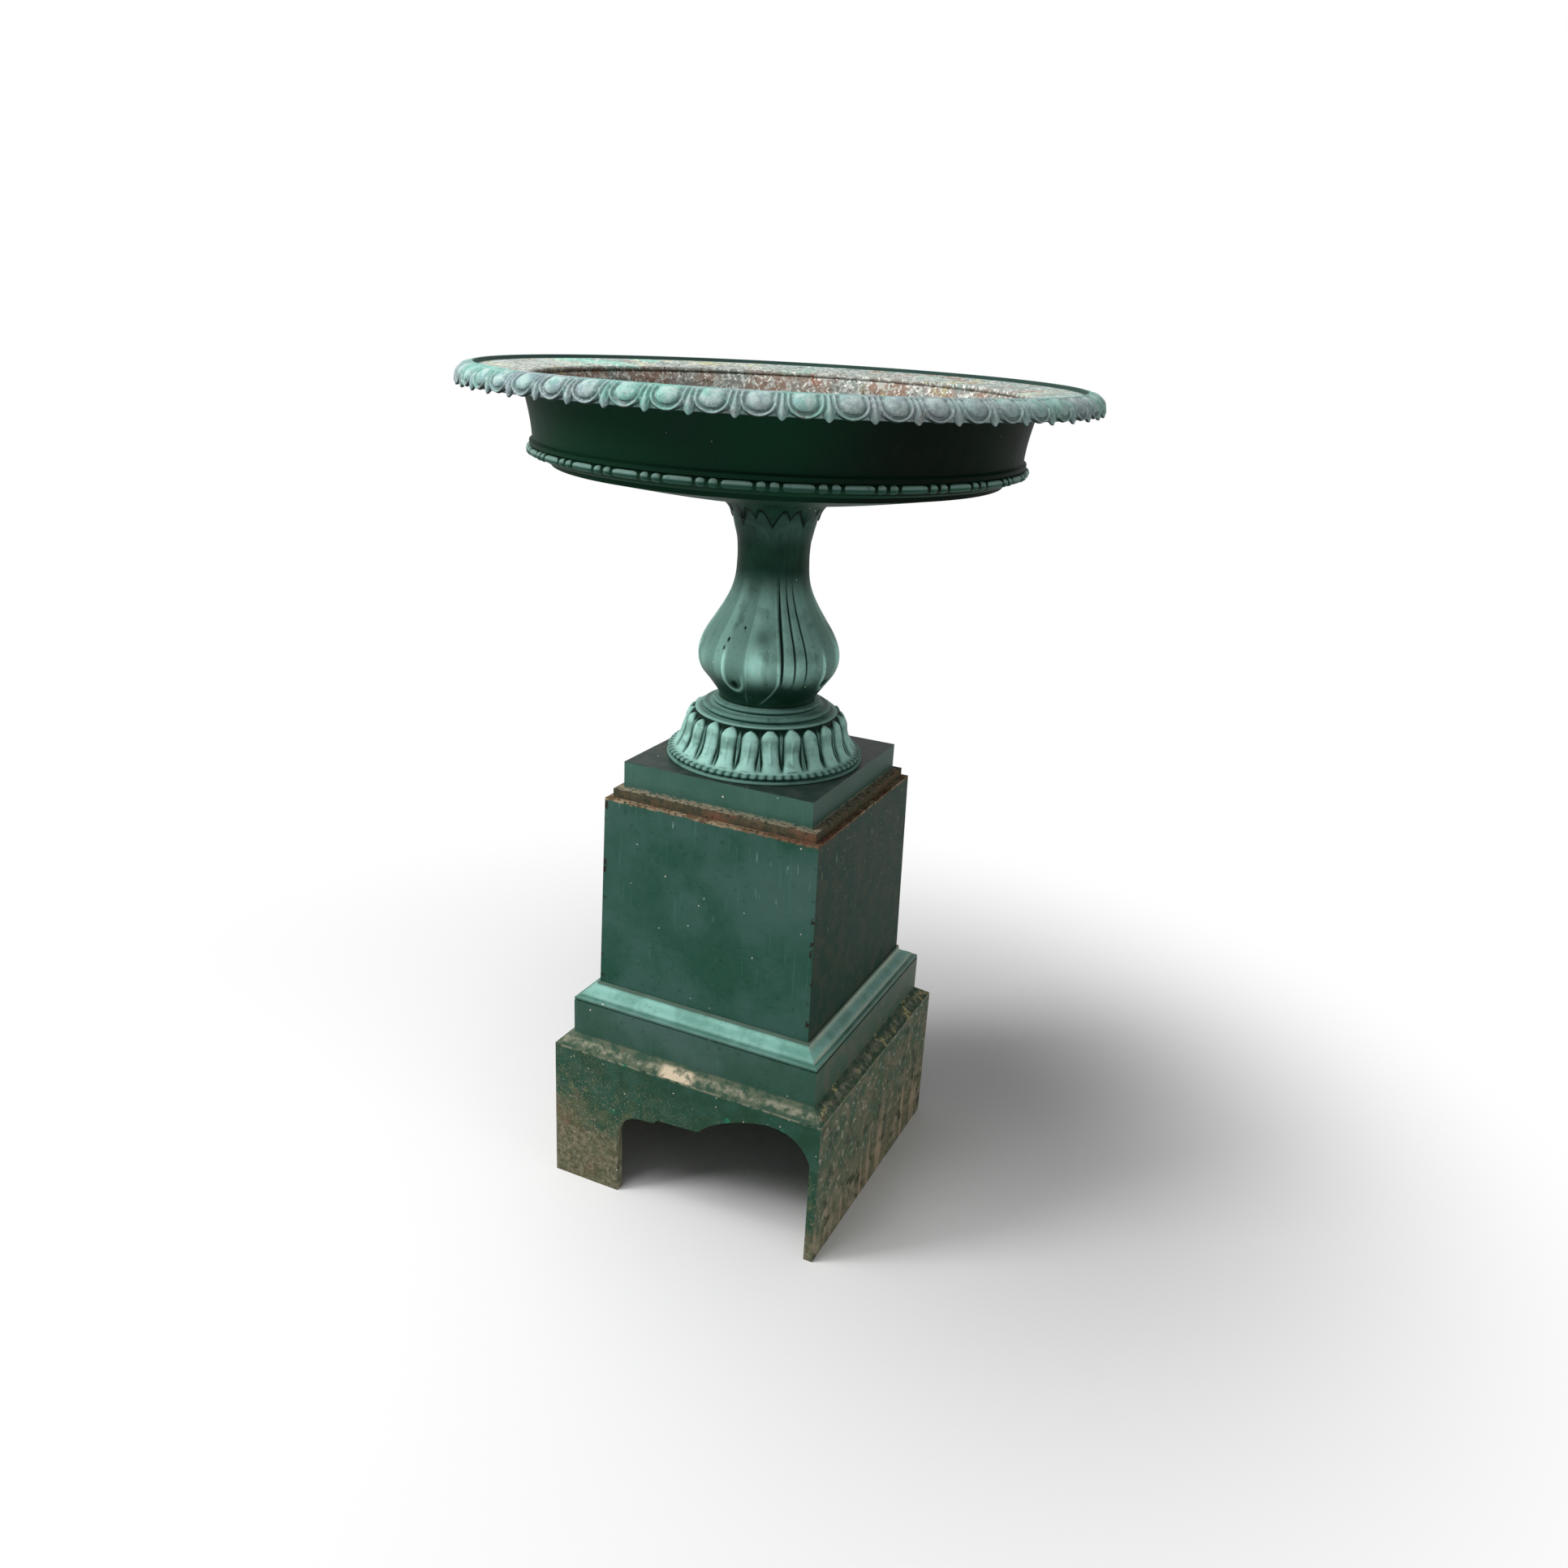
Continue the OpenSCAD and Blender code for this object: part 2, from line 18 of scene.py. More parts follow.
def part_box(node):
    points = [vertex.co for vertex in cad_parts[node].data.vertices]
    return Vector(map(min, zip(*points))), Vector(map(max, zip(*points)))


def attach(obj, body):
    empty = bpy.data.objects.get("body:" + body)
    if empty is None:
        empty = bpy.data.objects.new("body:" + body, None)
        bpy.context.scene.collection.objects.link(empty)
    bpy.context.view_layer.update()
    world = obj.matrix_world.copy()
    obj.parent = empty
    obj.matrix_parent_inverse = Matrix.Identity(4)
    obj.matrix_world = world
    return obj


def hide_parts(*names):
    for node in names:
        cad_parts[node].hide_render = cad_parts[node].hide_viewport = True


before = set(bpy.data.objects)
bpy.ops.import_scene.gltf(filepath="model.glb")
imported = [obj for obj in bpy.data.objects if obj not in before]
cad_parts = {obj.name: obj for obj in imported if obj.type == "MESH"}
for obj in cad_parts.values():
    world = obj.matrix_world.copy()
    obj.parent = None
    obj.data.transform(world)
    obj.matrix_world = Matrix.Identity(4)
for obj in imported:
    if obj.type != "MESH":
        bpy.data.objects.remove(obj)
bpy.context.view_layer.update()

MM = 0.001
TAU = 2 * math.pi

# Camera of the photograph, solved from the pedestal's corners and the rim's ellipses
CAMERA_AZIMUTH = 24.741
CAMERA_ELEVATION = 20.100
CAMERA_ROLL = 3.071
CAMERA_DISTANCE = 2.01109
CAMERA_AIM_RIGHT = 0.03292
CAMERA_AIM_HEIGHT = 0.64921
CAMERA_LENS = 29.80

# Ornament: how often it repeats, and where the first one stands
EGGS = 54
EGG_PHASE = -0.1
REELS = 30
SOCLE_LEAVES = 24
STEM_LEAVES = 4
FIRST_STEM_LEAF = math.radians(-69.3)
COLLAR_LEAVES = 8
FIRST_COLLAR_LEAF = math.radians(-67.5)

# Width of one degree on the stem's bulb, and its casting pits: turn in degrees, height and
# radius in millimetres
DEGREE_ON_BULB = 1.75 * MM
CASTING_PITS = [(-103.5, 101, 3.2), (-105.5, 89, 2.6), (-90.0, 119, 2.8)]

# Heights in millimetres of the stem's curl and of its tongue's margin
CURL_HIGH = 2.8
MARGIN_HIGH = 1.6

# Middle of the cream patches on the front and back ledges, and half the plinth's width
CREAM_PATCH_X = -15 * MM
PLINTH_HALF = 230 * MM

# Heights of the joints between the castings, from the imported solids
rim_low, rim_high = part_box("rim_ring")
bowl_low, bowl_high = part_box("bowl")
stem_low, stem_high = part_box("stem")
socle_low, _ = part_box("socle")
foot_low, foot_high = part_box("foot_plate")
die_low, die_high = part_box("die_front")
moulding_low, moulding_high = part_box("base_moulding")
_, plinth_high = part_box("plinth_left")

# Radius of the bowl's wall, the rim's widest radius, and the rim's quarter round: its radius
# and the place of its centre line
WALL_R = 343 * MM
RIM_OUT = 444 * MM
ROUND_R = 22 * MM
ROUND_AT = RIM_OUT - ROUND_R
ROUND_Z = rim_high.z - 23 * MM


# Shapes

def smooth(value, low, high):
    """Smooth step: 0 below low, 1 above high, 3t^2 - 2t^3 between."""
    t = np.clip((value - low) / (high - low), 0, 1)
    return t * t * (3 - 2 * t)


def ridge(distance, half_width):
    """Rounded ridge: cos^2 of the distance from its line, 0 beyond half_width."""
    return np.cos(np.clip(distance / half_width, -1, 1) * math.pi / 2) ** 2


def dome(x, y, half_x, half_y):
    """Half ellipsoid of height 1 over an ellipse."""
    return np.sqrt(np.clip(1 - (x / half_x) ** 2 - (y / half_y) ** 2, 0, 1))


def from_nearest(angles, count, first=0.0):
    """Angle from the nearest of count marks round the axis, in shares of their pitch."""
    turns = (angles - first) * count / TAU
    return turns - np.round(turns)


def path_points(points, step):
    """Points along a polyline at about the given step, as one array."""
    points = np.asarray(points, float)
    parts = []
    for start, end in zip(points[:-1], points[1:]):
        count = max(1, int(np.ceil(np.linalg.norm(end - start) / step)))
        parts.append(start + (end - start) * np.arange(count)[:, None] / count)
    return np.concatenate(parts + [points[-1:]])


def smooth_curve(at, places, values):
    """Curve through the given points: linear interpolation, then a short running average."""
    fine = np.linspace(places[0], places[-1], 600)
    line = np.interp(fine, places, values)
    window = 25
    padded = np.concatenate([2 * line[0] - line[window:0:-1], line, 2 * line[-1] - line[-2:-window - 2:-1]])
    kernel = np.hanning(2 * window + 1)
    line = np.convolve(padded, kernel / kernel.sum(), mode="same")[window:-window]
    return np.interp(at, fine, line)


def arc(centre, radii, degrees):
    """Points of an elliptic arc in the r-z plane, by their angles from the r axis."""
    turn = np.radians(degrees)[:, None]
    return np.array(centre) + np.array(radii) * np.hstack([np.cos(turn), np.sin(turn)])


def grid_quads(lower_rows, rows, columns):
    """Quads from the given rows of points to the next row; the last row leads to the first, and
    the last column to the first."""
    i, j = np.meshgrid(lower_rows, np.arange(columns), indexing="ij")
    up, on = (i + 1) % rows, (j + 1) % columns
    quads = [i * columns + j, i * columns + on, up * columns + on, up * columns + j]
    return np.stack(quads, axis=-1).reshape(-1, 4)


def new_object(name, data):
    """Object with this data, linked into the scene."""
    thing = bpy.data.objects.new(name, data)
    bpy.context.collection.objects.link(thing)
    return thing


def ring_skin(name, r, z, angles, marks):
    """Closed section carried round the axis: a point is (r cos a, r sin a, z).

    r and z are arrays [section point, angle]. Both directions close on themselves, and the
    section runs anticlockwise in the r-z plane, so that faces point outwards. marks are
    values per point, kept as attributes for the materials.
    """
    rows, columns = r.shape
    points = np.stack([r * np.cos(angles), r * np.sin(angles), z], axis=-1).reshape(-1, 3)
    mesh = bpy.data.meshes.new(name)
    mesh.from_pydata(points, [], grid_quads(np.arange(rows), rows, columns))
    mesh.shade_smooth()
    for mark, values in marks.items():
        attribute = mesh.attributes.new(mark, "FLOAT", "POINT")
        attribute.data.foreach_set("value", np.broadcast_to(values, r.shape).astype(np.float32).ravel())
    return new_object(name, mesh)


def egg_and_dart_band():
    """Band of the rim from its scalloped lower edge to its crest.

    A point lies at core + relief from the centre line of the quarter round, in the direction
    theta. x is the distance across from the nearest egg and s the distance up the round from
    the egg's middle. The relief is the greatest of an egg (half ellipsoid, longer upwards), a
    frame along a U (half circle below, straight above) and a dart that is widest low down in
    the gap between two frames, and it fades towards the crest, where the point comes out to
    the quarter round itself. The lower edge follows the outer side of the U and the dart, and
    sines of the egg's number make each egg a little different.
    """
    columns = EGGS * 34
    angles = np.arange(columns) * TAU / columns
    pitch = TAU * (RIM_OUT - 4 * MM) / EGGS
    number = np.round((angles - EGG_PHASE * TAU / EGGS) * EGGS / TAU) % EGGS
    x = from_nearest(angles, EGGS, EGG_PHASE * TAU / EGGS)[None, :] * pitch
    from_gap = pitch / 2 - np.abs(x)
    u_r, u_middle, frame_half = 19.0 * MM, 2 * MM, 2.7 * MM
    core, egg_high = 18.2 * MM, 4.4
    under_frame = u_middle - np.sqrt(np.clip((u_r + frame_half) ** 2 - x ** 2, 0, None))
    dart_s = np.array([-23, -21, -17, -12, -6, 2, 20]) * MM
    dart_half = np.array([0.4, 3.0, 5.4, 6.4, 4.6, 2.7, 2.0]) * MM
    under_dart = np.interp(from_gap, dart_half[:4], dart_s[:4], right=20 * MM)
    egg_at = math.radians(38)
    low = egg_at + np.minimum(under_frame, under_dart) / ROUND_R
    theta = low + (math.radians(89) - low) * np.linspace(0, 1, 46)[:, None]
    s = (theta - egg_at) * ROUND_R
    x = x + 0 * s
    from_u = np.where(s < u_middle, np.hypot(x, s - u_middle), np.abs(x)) - u_r
    egg_x = x + 0.8 * MM * np.sin(2.4 * number)
    egg_s = s - (1.5 + 0.7 * np.sin(1.7 * number)) * MM
    egg = dome(egg_x, egg_s, 14.8 * MM, np.where(egg_s < 0, 13.2 * MM, 40 * MM))
    dart = np.clip(1 - from_gap / np.interp(s, dart_s, dart_half), 0, 1) ** 0.6
    crest = smooth(theta, math.radians(74), math.radians(89))
    frame_band = ridge(from_u, frame_half) ** 0.8
    relief = np.maximum(np.maximum(3.4 * frame_band, egg_high * egg), 3.6 * dart) * MM
    reach = core + crest * (ROUND_R - core) + relief * (1 - crest)
    r = ROUND_AT + reach * np.cos(theta)
    z = ROUND_Z + reach * np.sin(theta)
    back, back_reach = np.radians([84, 45, 15, -9])[:, None], 13 * MM
    back_r = ROUND_AT + back_reach * np.cos(back) + 0 * x[:1]
    back_z = ROUND_Z + back_reach * np.sin(back) + 0 * x[:1]
    # The back of the band gets a relief mark of 0, which the rim's paint darkens as painted shade where it
    # shows through the notches.
    marks = {"relief": np.concatenate([relief / (egg_high * MM), 0 * back_r]),
             "egg": np.concatenate([egg, 0 * back_r]), "inside": 0.0, "edge": 0.0}
    return ring_skin("egg_and_dart_band", np.concatenate([r, back_r]), np.concatenate([z, back_z]),
                     angles, marks)


def rim_body():
    """Plain part of the rim: seat, hollow underside, crest and the slope into the bowl."""
    seat, top, inner, crest_r = bowl_high.z, rim_high.z, WALL_R, ROUND_AT
    under = [[inner, seat], [inner + 36 * MM, seat], [inner + 41 * MM, seat + 5 * MM],
             [crest_r - 12 * MM, top - 10 * MM], [crest_r - 7 * MM, top - 15 * MM],
             [crest_r - 7 * MM, ROUND_Z - 2.9 * MM]]
    behind_eggs = arc((ROUND_AT, ROUND_Z), (16.8 * MM, 16.8 * MM), np.linspace(-10, 66, 10))
    crest = np.array([[1.2, -1.8], [-0.5, -0.4], [-2, 0], [-4, -0.5], [-5.5, -2.2], [-6.5, -5.0]])
    crest = crest * MM + [crest_r, top]
    slope = path_points([crest[-1], [inner, seat + 7 * MM]], 6 * MM)[1:]
    section = np.concatenate([under, behind_eggs, crest, slope])
    place = np.arange(len(section)) - len(under) - len(behind_eggs)
    # The edge mark picks out the inner side of the crest, which the paint makes a dark green line: partly
    # its paint, partly painted shade under the lip.
    edge = (place >= 3) & (place < len(crest))
    inside = (place >= len(crest)) | (place == place[0])
    marks = {"relief": 0.5, "egg": 0.0, "inside": inside.astype(float)[:, None],
             "edge": edge.astype(float)[:, None]}
    angles = np.arange(720) * TAU / 720
    r, z = (np.repeat(section[:, [k]], len(angles), axis=1) for k in (0, 1))
    return ring_skin("rim_body", r, z, angles, marks)


def bead_and_reel():
    """Row of reels and pairs of beads: a tube round the bowl whose radius follows a rounded
    spindle over each reel and a circle's chord over each bead."""
    columns = REELS * 44
    angles = np.arange(columns) * TAU / columns
    ring_r = WALL_R + 3.4 * MM
    pitch = TAU * ring_r / REELS
    x = from_nearest(angles, REELS) * pitch
    reel = 4.9 * np.clip(1 - (np.abs(x) / (20.8 * MM)) ** 6, 0, 1) ** 0.4
    bead_at, bead_high = 28.4 * MM, 5.6
    bead = bead_high * dome(np.abs(x) - bead_at, 0, 7.2 * MM, 1.0)
    tube = np.maximum(np.maximum(reel, bead), 1.6) * MM
    turn = (np.arange(12) * TAU / 12)[:, None]
    r = ring_r + tube * np.cos(turn)
    z = bowl_low.z + 56 * MM + tube * np.sin(turn)
    # The relief mark is low on the thin tube between reels and beads, where the paint puts painted shade,
    # and high on them for the painted highlight.
    marks = {"relief": tube[None, :] / (bead_high * MM) + 0 * turn, "painted_highlight": 1.0}
    return ring_skin("bead_and_reel", r, z, angles, marks)


STEM_PROFILE = np.array([
    [0, 72.6], [6, 73.5], [16, 81.5], [28, 89.9], [40, 99.4], [52, 104.7], [65, 106.3], [77, 104.8],
    [90, 100.4], [102, 94.0], [115, 85.5], [128, 77.6], [141, 70.1], [154, 63.6], [166, 59.0], [178, 56.0],
    [190, 54.5], [214, 53.7], [234, 54.9], [254, 58.6], [271, 62.2], [280, 65.5], [287, 72.0], [292, 78.5],
    [297, 83.5]]) * MM


def tongue_relief(v, z, half):
    """Broad smooth tongue and its raised margin; its tip bends to one side near the foot."""
    bend = np.clip(1 - z / (46 * MM), 0, 1)
    off = v + 13 * bend ** 1.6
    half = np.maximum(half * np.sqrt(np.clip(1 - bend ** 2.4, 0, 1)), 0.4)
    body = np.clip(1 - (off / half) ** 2, 0, 1) ** 0.5
    margin = ridge(np.abs(off) - half, 1.9) * smooth(z, 3 * MM, 12 * MM) * (0.25 + 0.75 * smooth(off, -2, 4))
    return 1.7 * body, MARGIN_HIGH * margin


def curl_relief(v, z):
    """Curl beside the tongue: a ridge along a U, longer on its outer arm, and the hollow in it."""
    across = (v + 25) * DEGREE_ON_BULB
    bend_r, bend_z = 15 * MM, 41 * MM
    from_u = np.where(z < bend_z, np.hypot(across, z - bend_z), np.abs(across)) - bend_r
    hollow = ridge(np.hypot(across, z - 37 * MM), 8 * MM)
    arm_end = np.where(across < 0, 96, 62) * MM
    curl = CURL_HIGH * ridge(from_u, 5.0 * MM) * (1 - smooth(z, arm_end - 40 * MM, arm_end))
    return curl, 3.2 * hollow


def stem_highlight(v, z, proud):
    """Where the stem gets a painted highlight: the shoulder of the bulb, most of all beside the curl
    and on the belly of the tongue but less above it, where a spot of painted shade takes it back,
    the thin lines of curl and margin lower down, and a little under the collar."""
    shoulder = smooth(z, 22 * MM, 80 * MM) * (1 - smooth(z, 140 * MM, 200 * MM))
    field = 0.62 + 0.30 * smooth(-v, 28, 38)
    belly = 0.50 * np.exp(-((v + 4) / 9) ** 2 - ((z - 66 * MM) / (24 * MM)) ** 2)
    belly += 0.45 * np.exp(-((v - 24) / 8) ** 2 - ((z - 62 * MM) / (16 * MM)) ** 2)
    shade = 0.40 * np.exp(-((v + 1) / 9) ** 2 - ((z - 108 * MM) / (15 * MM)) ** 2)
    under_collar = 0.08 * smooth(z, 225 * MM, 262 * MM)
    return np.clip(shoulder * (field + belly - shade) + 0.45 * proud + under_collar, 0, 1)


def reed_relief(v, z):
    """Three reeds on the other side, each a dome across with a round lower end."""
    reeds = 0 * z
    for middle, half, foot in ((21.5, 4.8, 35), (31.5, 5.0, 31), (41.5, 5.0, 36)):
        end = np.clip((z - foot * MM) / (11 * MM), 0, 1)
        width = half * np.sqrt(1 - (1 - end) ** 2) + 0.001
        reeds = np.maximum(reeds, np.sqrt(np.clip(1 - ((v - middle) / width) ** 2, 0, 1)))
    return 2.5 * reeds


def collar_drop(angles):
    """How far the collar's zigzag edge hangs below the top of the stem: a long point at each
    leaf and a short one between two leaves."""
    from_leaf = np.abs(from_nearest(angles, COLLAR_LEAVES, FIRST_COLLAR_LEAF))[None, :]
    drop = np.maximum(33 * (1 - 2.6 * from_leaf), 22 * (1 - 4.0 * (0.5 - from_leaf)))
    return from_leaf, np.maximum(drop, 10) * MM


def stem_casting():
    """Baluster stem: a smooth outline with a tongue, a curl and a bundle of reeds.

    z is the height over the stem's foot and v the angle from the nearest tongue in degrees.
    Four tongues stand round the stem, with reeds beside every second one. The reliefs flatten
    towards the neck, and an arched ridge joins the tongues at the top.
    """
    columns = 720
    angles = np.arange(columns) * TAU / columns
    height = stem_high.z - stem_low.z
    z = np.linspace(0, height, 126)[:, None]
    outline = smooth_curve(z, STEM_PROFILE[:, 0], STEM_PROFILE[:, 1])
    v = from_nearest(angles, STEM_LEAVES, FIRST_STEM_LEAF)[None, :] * 360 / STEM_LEAVES
    reeded = 1 - np.round((angles - FIRST_STEM_LEAF) * STEM_LEAVES / TAU)[None, :] % 2
    v, z = v + 0 * z, z + 0 * v
    arch = (236 + 30 * np.sqrt(np.clip(1 - (1 - np.abs(v) / 45) ** 2, 0, 1))) * MM
    below_arch = 1 - smooth(z, arch - 3 * MM, arch + 1 * MM)
    half = np.interp(z, [0, 90 * MM, 170 * MM, 250 * MM], [13.5, 13.5, 11.5, 9])
    slim = np.interp(z, [0, 60 * MM, 110 * MM, 160 * MM, 260 * MM], [0.9, 1, 0.95, 0.50, 0.30])
    reeds = reed_relief(v, z) * reeded
    body, margin = tongue_relief(v, z, half)
    curl, hollow = curl_relief(v, z)
    relief = np.maximum(body + margin, reeds) * slim * below_arch
    relief += curl - hollow + 0.9 * ridge(z - arch, 4 * MM)
    for turn, pit_z, pit_r in CASTING_PITS:
        apart = np.abs((np.degrees(angles) - turn + 180) % 360 - 180)[None, :] * DEGREE_ON_BULB
        relief -= 3.2 * ridge(np.hypot(apart, z - pit_z * MM), pit_r * MM)
    fade = smooth(z, 0, 8 * MM) * (1 - smooth(z, height - 62 * MM, height - 36 * MM))
    sink, limit = 2.0 * MM, stem_high.x - outline
    r = outline - sink * fade + np.minimum(relief * MM * fade, limit + sink)
    wall = 7 * MM
    inner = np.array([[82, 1.0], [62, 0.93], [46, 0.8], [46, 0.5],
                      [70, 0.42], [90, 0.25], [80, 0.12], [63, 0.0]])
    back_r = inner[:, [0]] * MM - wall + 0 * v[:1]
    back_z = inner[:, [1]] * height + 0 * v[:1]
    # Painted shade: the mark drops in the gaps between the reeds and in a band just under the collar's
    # zigzag edge, where the paint turns it dark; proud relief raises it for the painted highlight.
    gap_half = np.interp(z, [40 * MM, 90 * MM, 130 * MM, 200 * MM], [1.2, 2.6, 2.8, 1.2])
    in_gap = sum(ridge(v - middle, gap_half) for middle in (16.2, 26.5, 36.5))
    in_gap = in_gap * reeded * smooth(z, 38 * MM, 52 * MM) * (1 - smooth(z, 150 * MM, 200 * MM))
    shade_and_sheen = 0.50 + relief / 5 - 0.42 * np.clip(in_gap, 0, 1)
    collar_edge = height - collar_drop(angles)[1]
    shade_and_sheen = shade_and_sheen * (1 - smooth(z, collar_edge - 8 * MM, collar_edge - 3 * MM))
    margin_low = margin / MARGIN_HIGH * (1 - smooth(z, 60 * MM, 90 * MM))
    proud = np.clip(curl / CURL_HIGH + margin_low, 0, 1)
    marks = {"relief": np.concatenate([shade_and_sheen, 0 * back_r]),
             "painted_highlight": np.concatenate([stem_highlight(v, z, proud), 0 * back_r])}
    return ring_skin("stem_casting", np.concatenate([r, back_r]),
                     np.concatenate([z, back_z]) + stem_low.z, angles, marks)


def collar_casting():
    """Collar of pointed leaves that hugs the top of the stem, with a small leaf between each
    pair: the lower edge is a zigzag of the angle, and the skin thickens away from it."""
    columns = 720
    angles = np.arange(columns) * TAU / columns
    height = stem_high.z - stem_low.z
    from_leaf, drop = collar_drop(angles)
    share = np.linspace(0, 1, 24)[:, None]
    z = height - drop * (1 - share)
    outline = smooth_curve(z, STEM_PROFILE[:, 0], STEM_PROFILE[:, 1])
    rib = ridge(from_leaf, 0.10) * (1 - share)
    thick = (0.6 + 1.0 * smooth(share, 0, 0.15) - 0.6 * smooth(share, 0.5, 1) + 1.0 * rib) * MM
    r = outline + thick
    back_r = (outline - 5 * MM)[::-6]
    back_z = z[::-6]
    # Painted highlight on the leaves' ribs and along the lower edge, where the mark is high.
    shade_and_sheen = 0.35 + 0.5 * rib + 0.3 * (1 - smooth(share, 0, 0.2))
    marks = {"relief": np.concatenate([shade_and_sheen, 0 * back_r]), "painted_highlight": 1.0}
    return ring_skin("collar_casting", np.concatenate([r, back_r]),
                     np.concatenate([z, back_z]) + stem_low.z, angles, marks)


SOCLE_BELL = np.array([
    [13.5, 137.5], [17, 134.5], [24, 130.0], [32, 126.0], [40, 123.2], [50, 121.2], [58, 119.6], [64, 117.4],
    [69, 113.5], [72.5, 107.8]]) * MM


def socle_casting():
    """Socle: base ring, bead band, bell with upright leaves and two rings at the top.

    x is the distance across from the nearest leaf, in shares of the leaves' pitch, and rise
    the height over the socle's foot. Each leaf is a tongue with a round head: a dome across x
    over a groove between leaves, with a narrow ridge down its middle and slight folds that
    lean with the height, and a small pointed tongue shows between two heads. Sines of the
    leaf's number make each leaf a little different.
    """
    columns = SOCLE_LEAVES * 30
    angles = np.arange(columns) * TAU / columns
    base = [[124, 0], [149, 0], [149, 2.2], [148.2, 3.6], [146, 4.4], [144, 4.6], [142.6, 5.2]]
    bead = arc((143.4, 9.0), (3.6, 3.6), np.arange(-55, 96, 30))
    base = path_points(np.concatenate([base, bead]) * MM, 2 * MM)
    bell_z = np.linspace(13.5, 72.5, 58) * MM
    bell = np.stack([smooth_curve(bell_z, SOCLE_BELL[:, 0], SOCLE_BELL[:, 1]), bell_z], axis=1)
    ring_low = arc((91, 78.2), (5.6, 4.6), [-60, -35, -10, 15, 40, 65, 90, 120])
    ring_top = arc((77.5, 87.0), (4.6, 4.0), np.arange(-60, 91, 30))
    top = np.concatenate([[[100, 73.6], [96, 73.6]], ring_low, ring_top, [[74, 92], [60, 92]]]) * MM
    hollow = np.array([[60, 78], [90, 60], [105, 40], [118, 14]]) * MM
    section = np.concatenate([base, bell, top, hollow])
    on_bell = np.zeros(len(section))
    on_bell[len(base):len(base) + len(bell)] = 1
    on_bead, bead_points = np.zeros(len(section)), 8
    on_bead[len(base) - bead_points:len(base)] = 1
    rise = section[:, [1]]
    number = np.round(angles * SOCLE_LEAVES / TAU)[None, :] % SOCLE_LEAVES
    lean = 0.045 * np.sin(2.7 * number + rise / (14 * MM))
    x = np.abs(from_nearest(angles, SOCLE_LEAVES)[None, :] + lean)
    head = (70 + 1.4 * np.sin(1.9 * number)) * MM
    into_head = 1 + (rise - head) / (12 * MM)
    below_head = np.interp(rise, [13 * MM, 26 * MM, 54 * MM], [0.47, 0.38, 0.43])
    width = np.where(into_head > 0, 0.43 * np.sqrt(np.clip(1 - into_head ** 2, 0, 1)), below_head)
    width = np.maximum(width, 0.001)
    tongue = np.sqrt(np.clip(1 - (x / width) ** 2, 0, 1))
    rib = ridge(x, 0.10) * smooth(rise, 20 * MM, 30 * MM) * (1 - smooth(rise, 48 * MM, 60 * MM))
    between = ridge(0.5 - x, 0.09) * (1 - smooth(rise, 60 * MM, 71 * MM))
    folds = 0.7 * np.sin(rise / (5.5 * MM) + 2.3 * number) * tongue
    relief = (5.0 * tongue + 1.2 * rib + 2.6 * between + folds) * on_bell[:, None]
    end = smooth(rise, 13 * MM, 17 * MM) * (1 - smooth(rise, 71 * MM, 72.5 * MM))
    beads = np.abs(np.cos(angles * SOCLE_LEAVES * 1.5))[None, :] ** 0.6
    sink = 3.2
    relief = (relief - sink) * end * on_bell[:, None] + (beads - 0.75) * 3.0 * on_bead[:, None]
    r = section[:, [0]] + relief * MM
    z = rise + 0.25 * relief * MM * on_bell[:, None] + 0 * x
    # The mark turns to painted shade in the grooves between the leaves and a little in the bead band's pits,
    # and to painted highlight on the leaves.
    plain = 0.42 + (0.20 * beads ** 2 - 0.14) * on_bead[:, None]
    marks = {"relief": (0.12 + (relief + sink) / 7.0) * on_bell[:, None] + plain * (1 - on_bell[:, None]),
             "painted_highlight": 1.0}
    return ring_skin("socle_casting", r, z + socle_low.z, angles, marks)


# Materials

def rgb(red, green, blue):
    """Colour from 0 to 255 as the photograph shows it, in linear light."""
    shown = np.array([red, green, blue]) / 255
    linear = np.where(shown <= 0.04045, shown / 12.92, ((shown + 0.055) / 1.055) ** 2.4)
    return (*linear, 1.0)


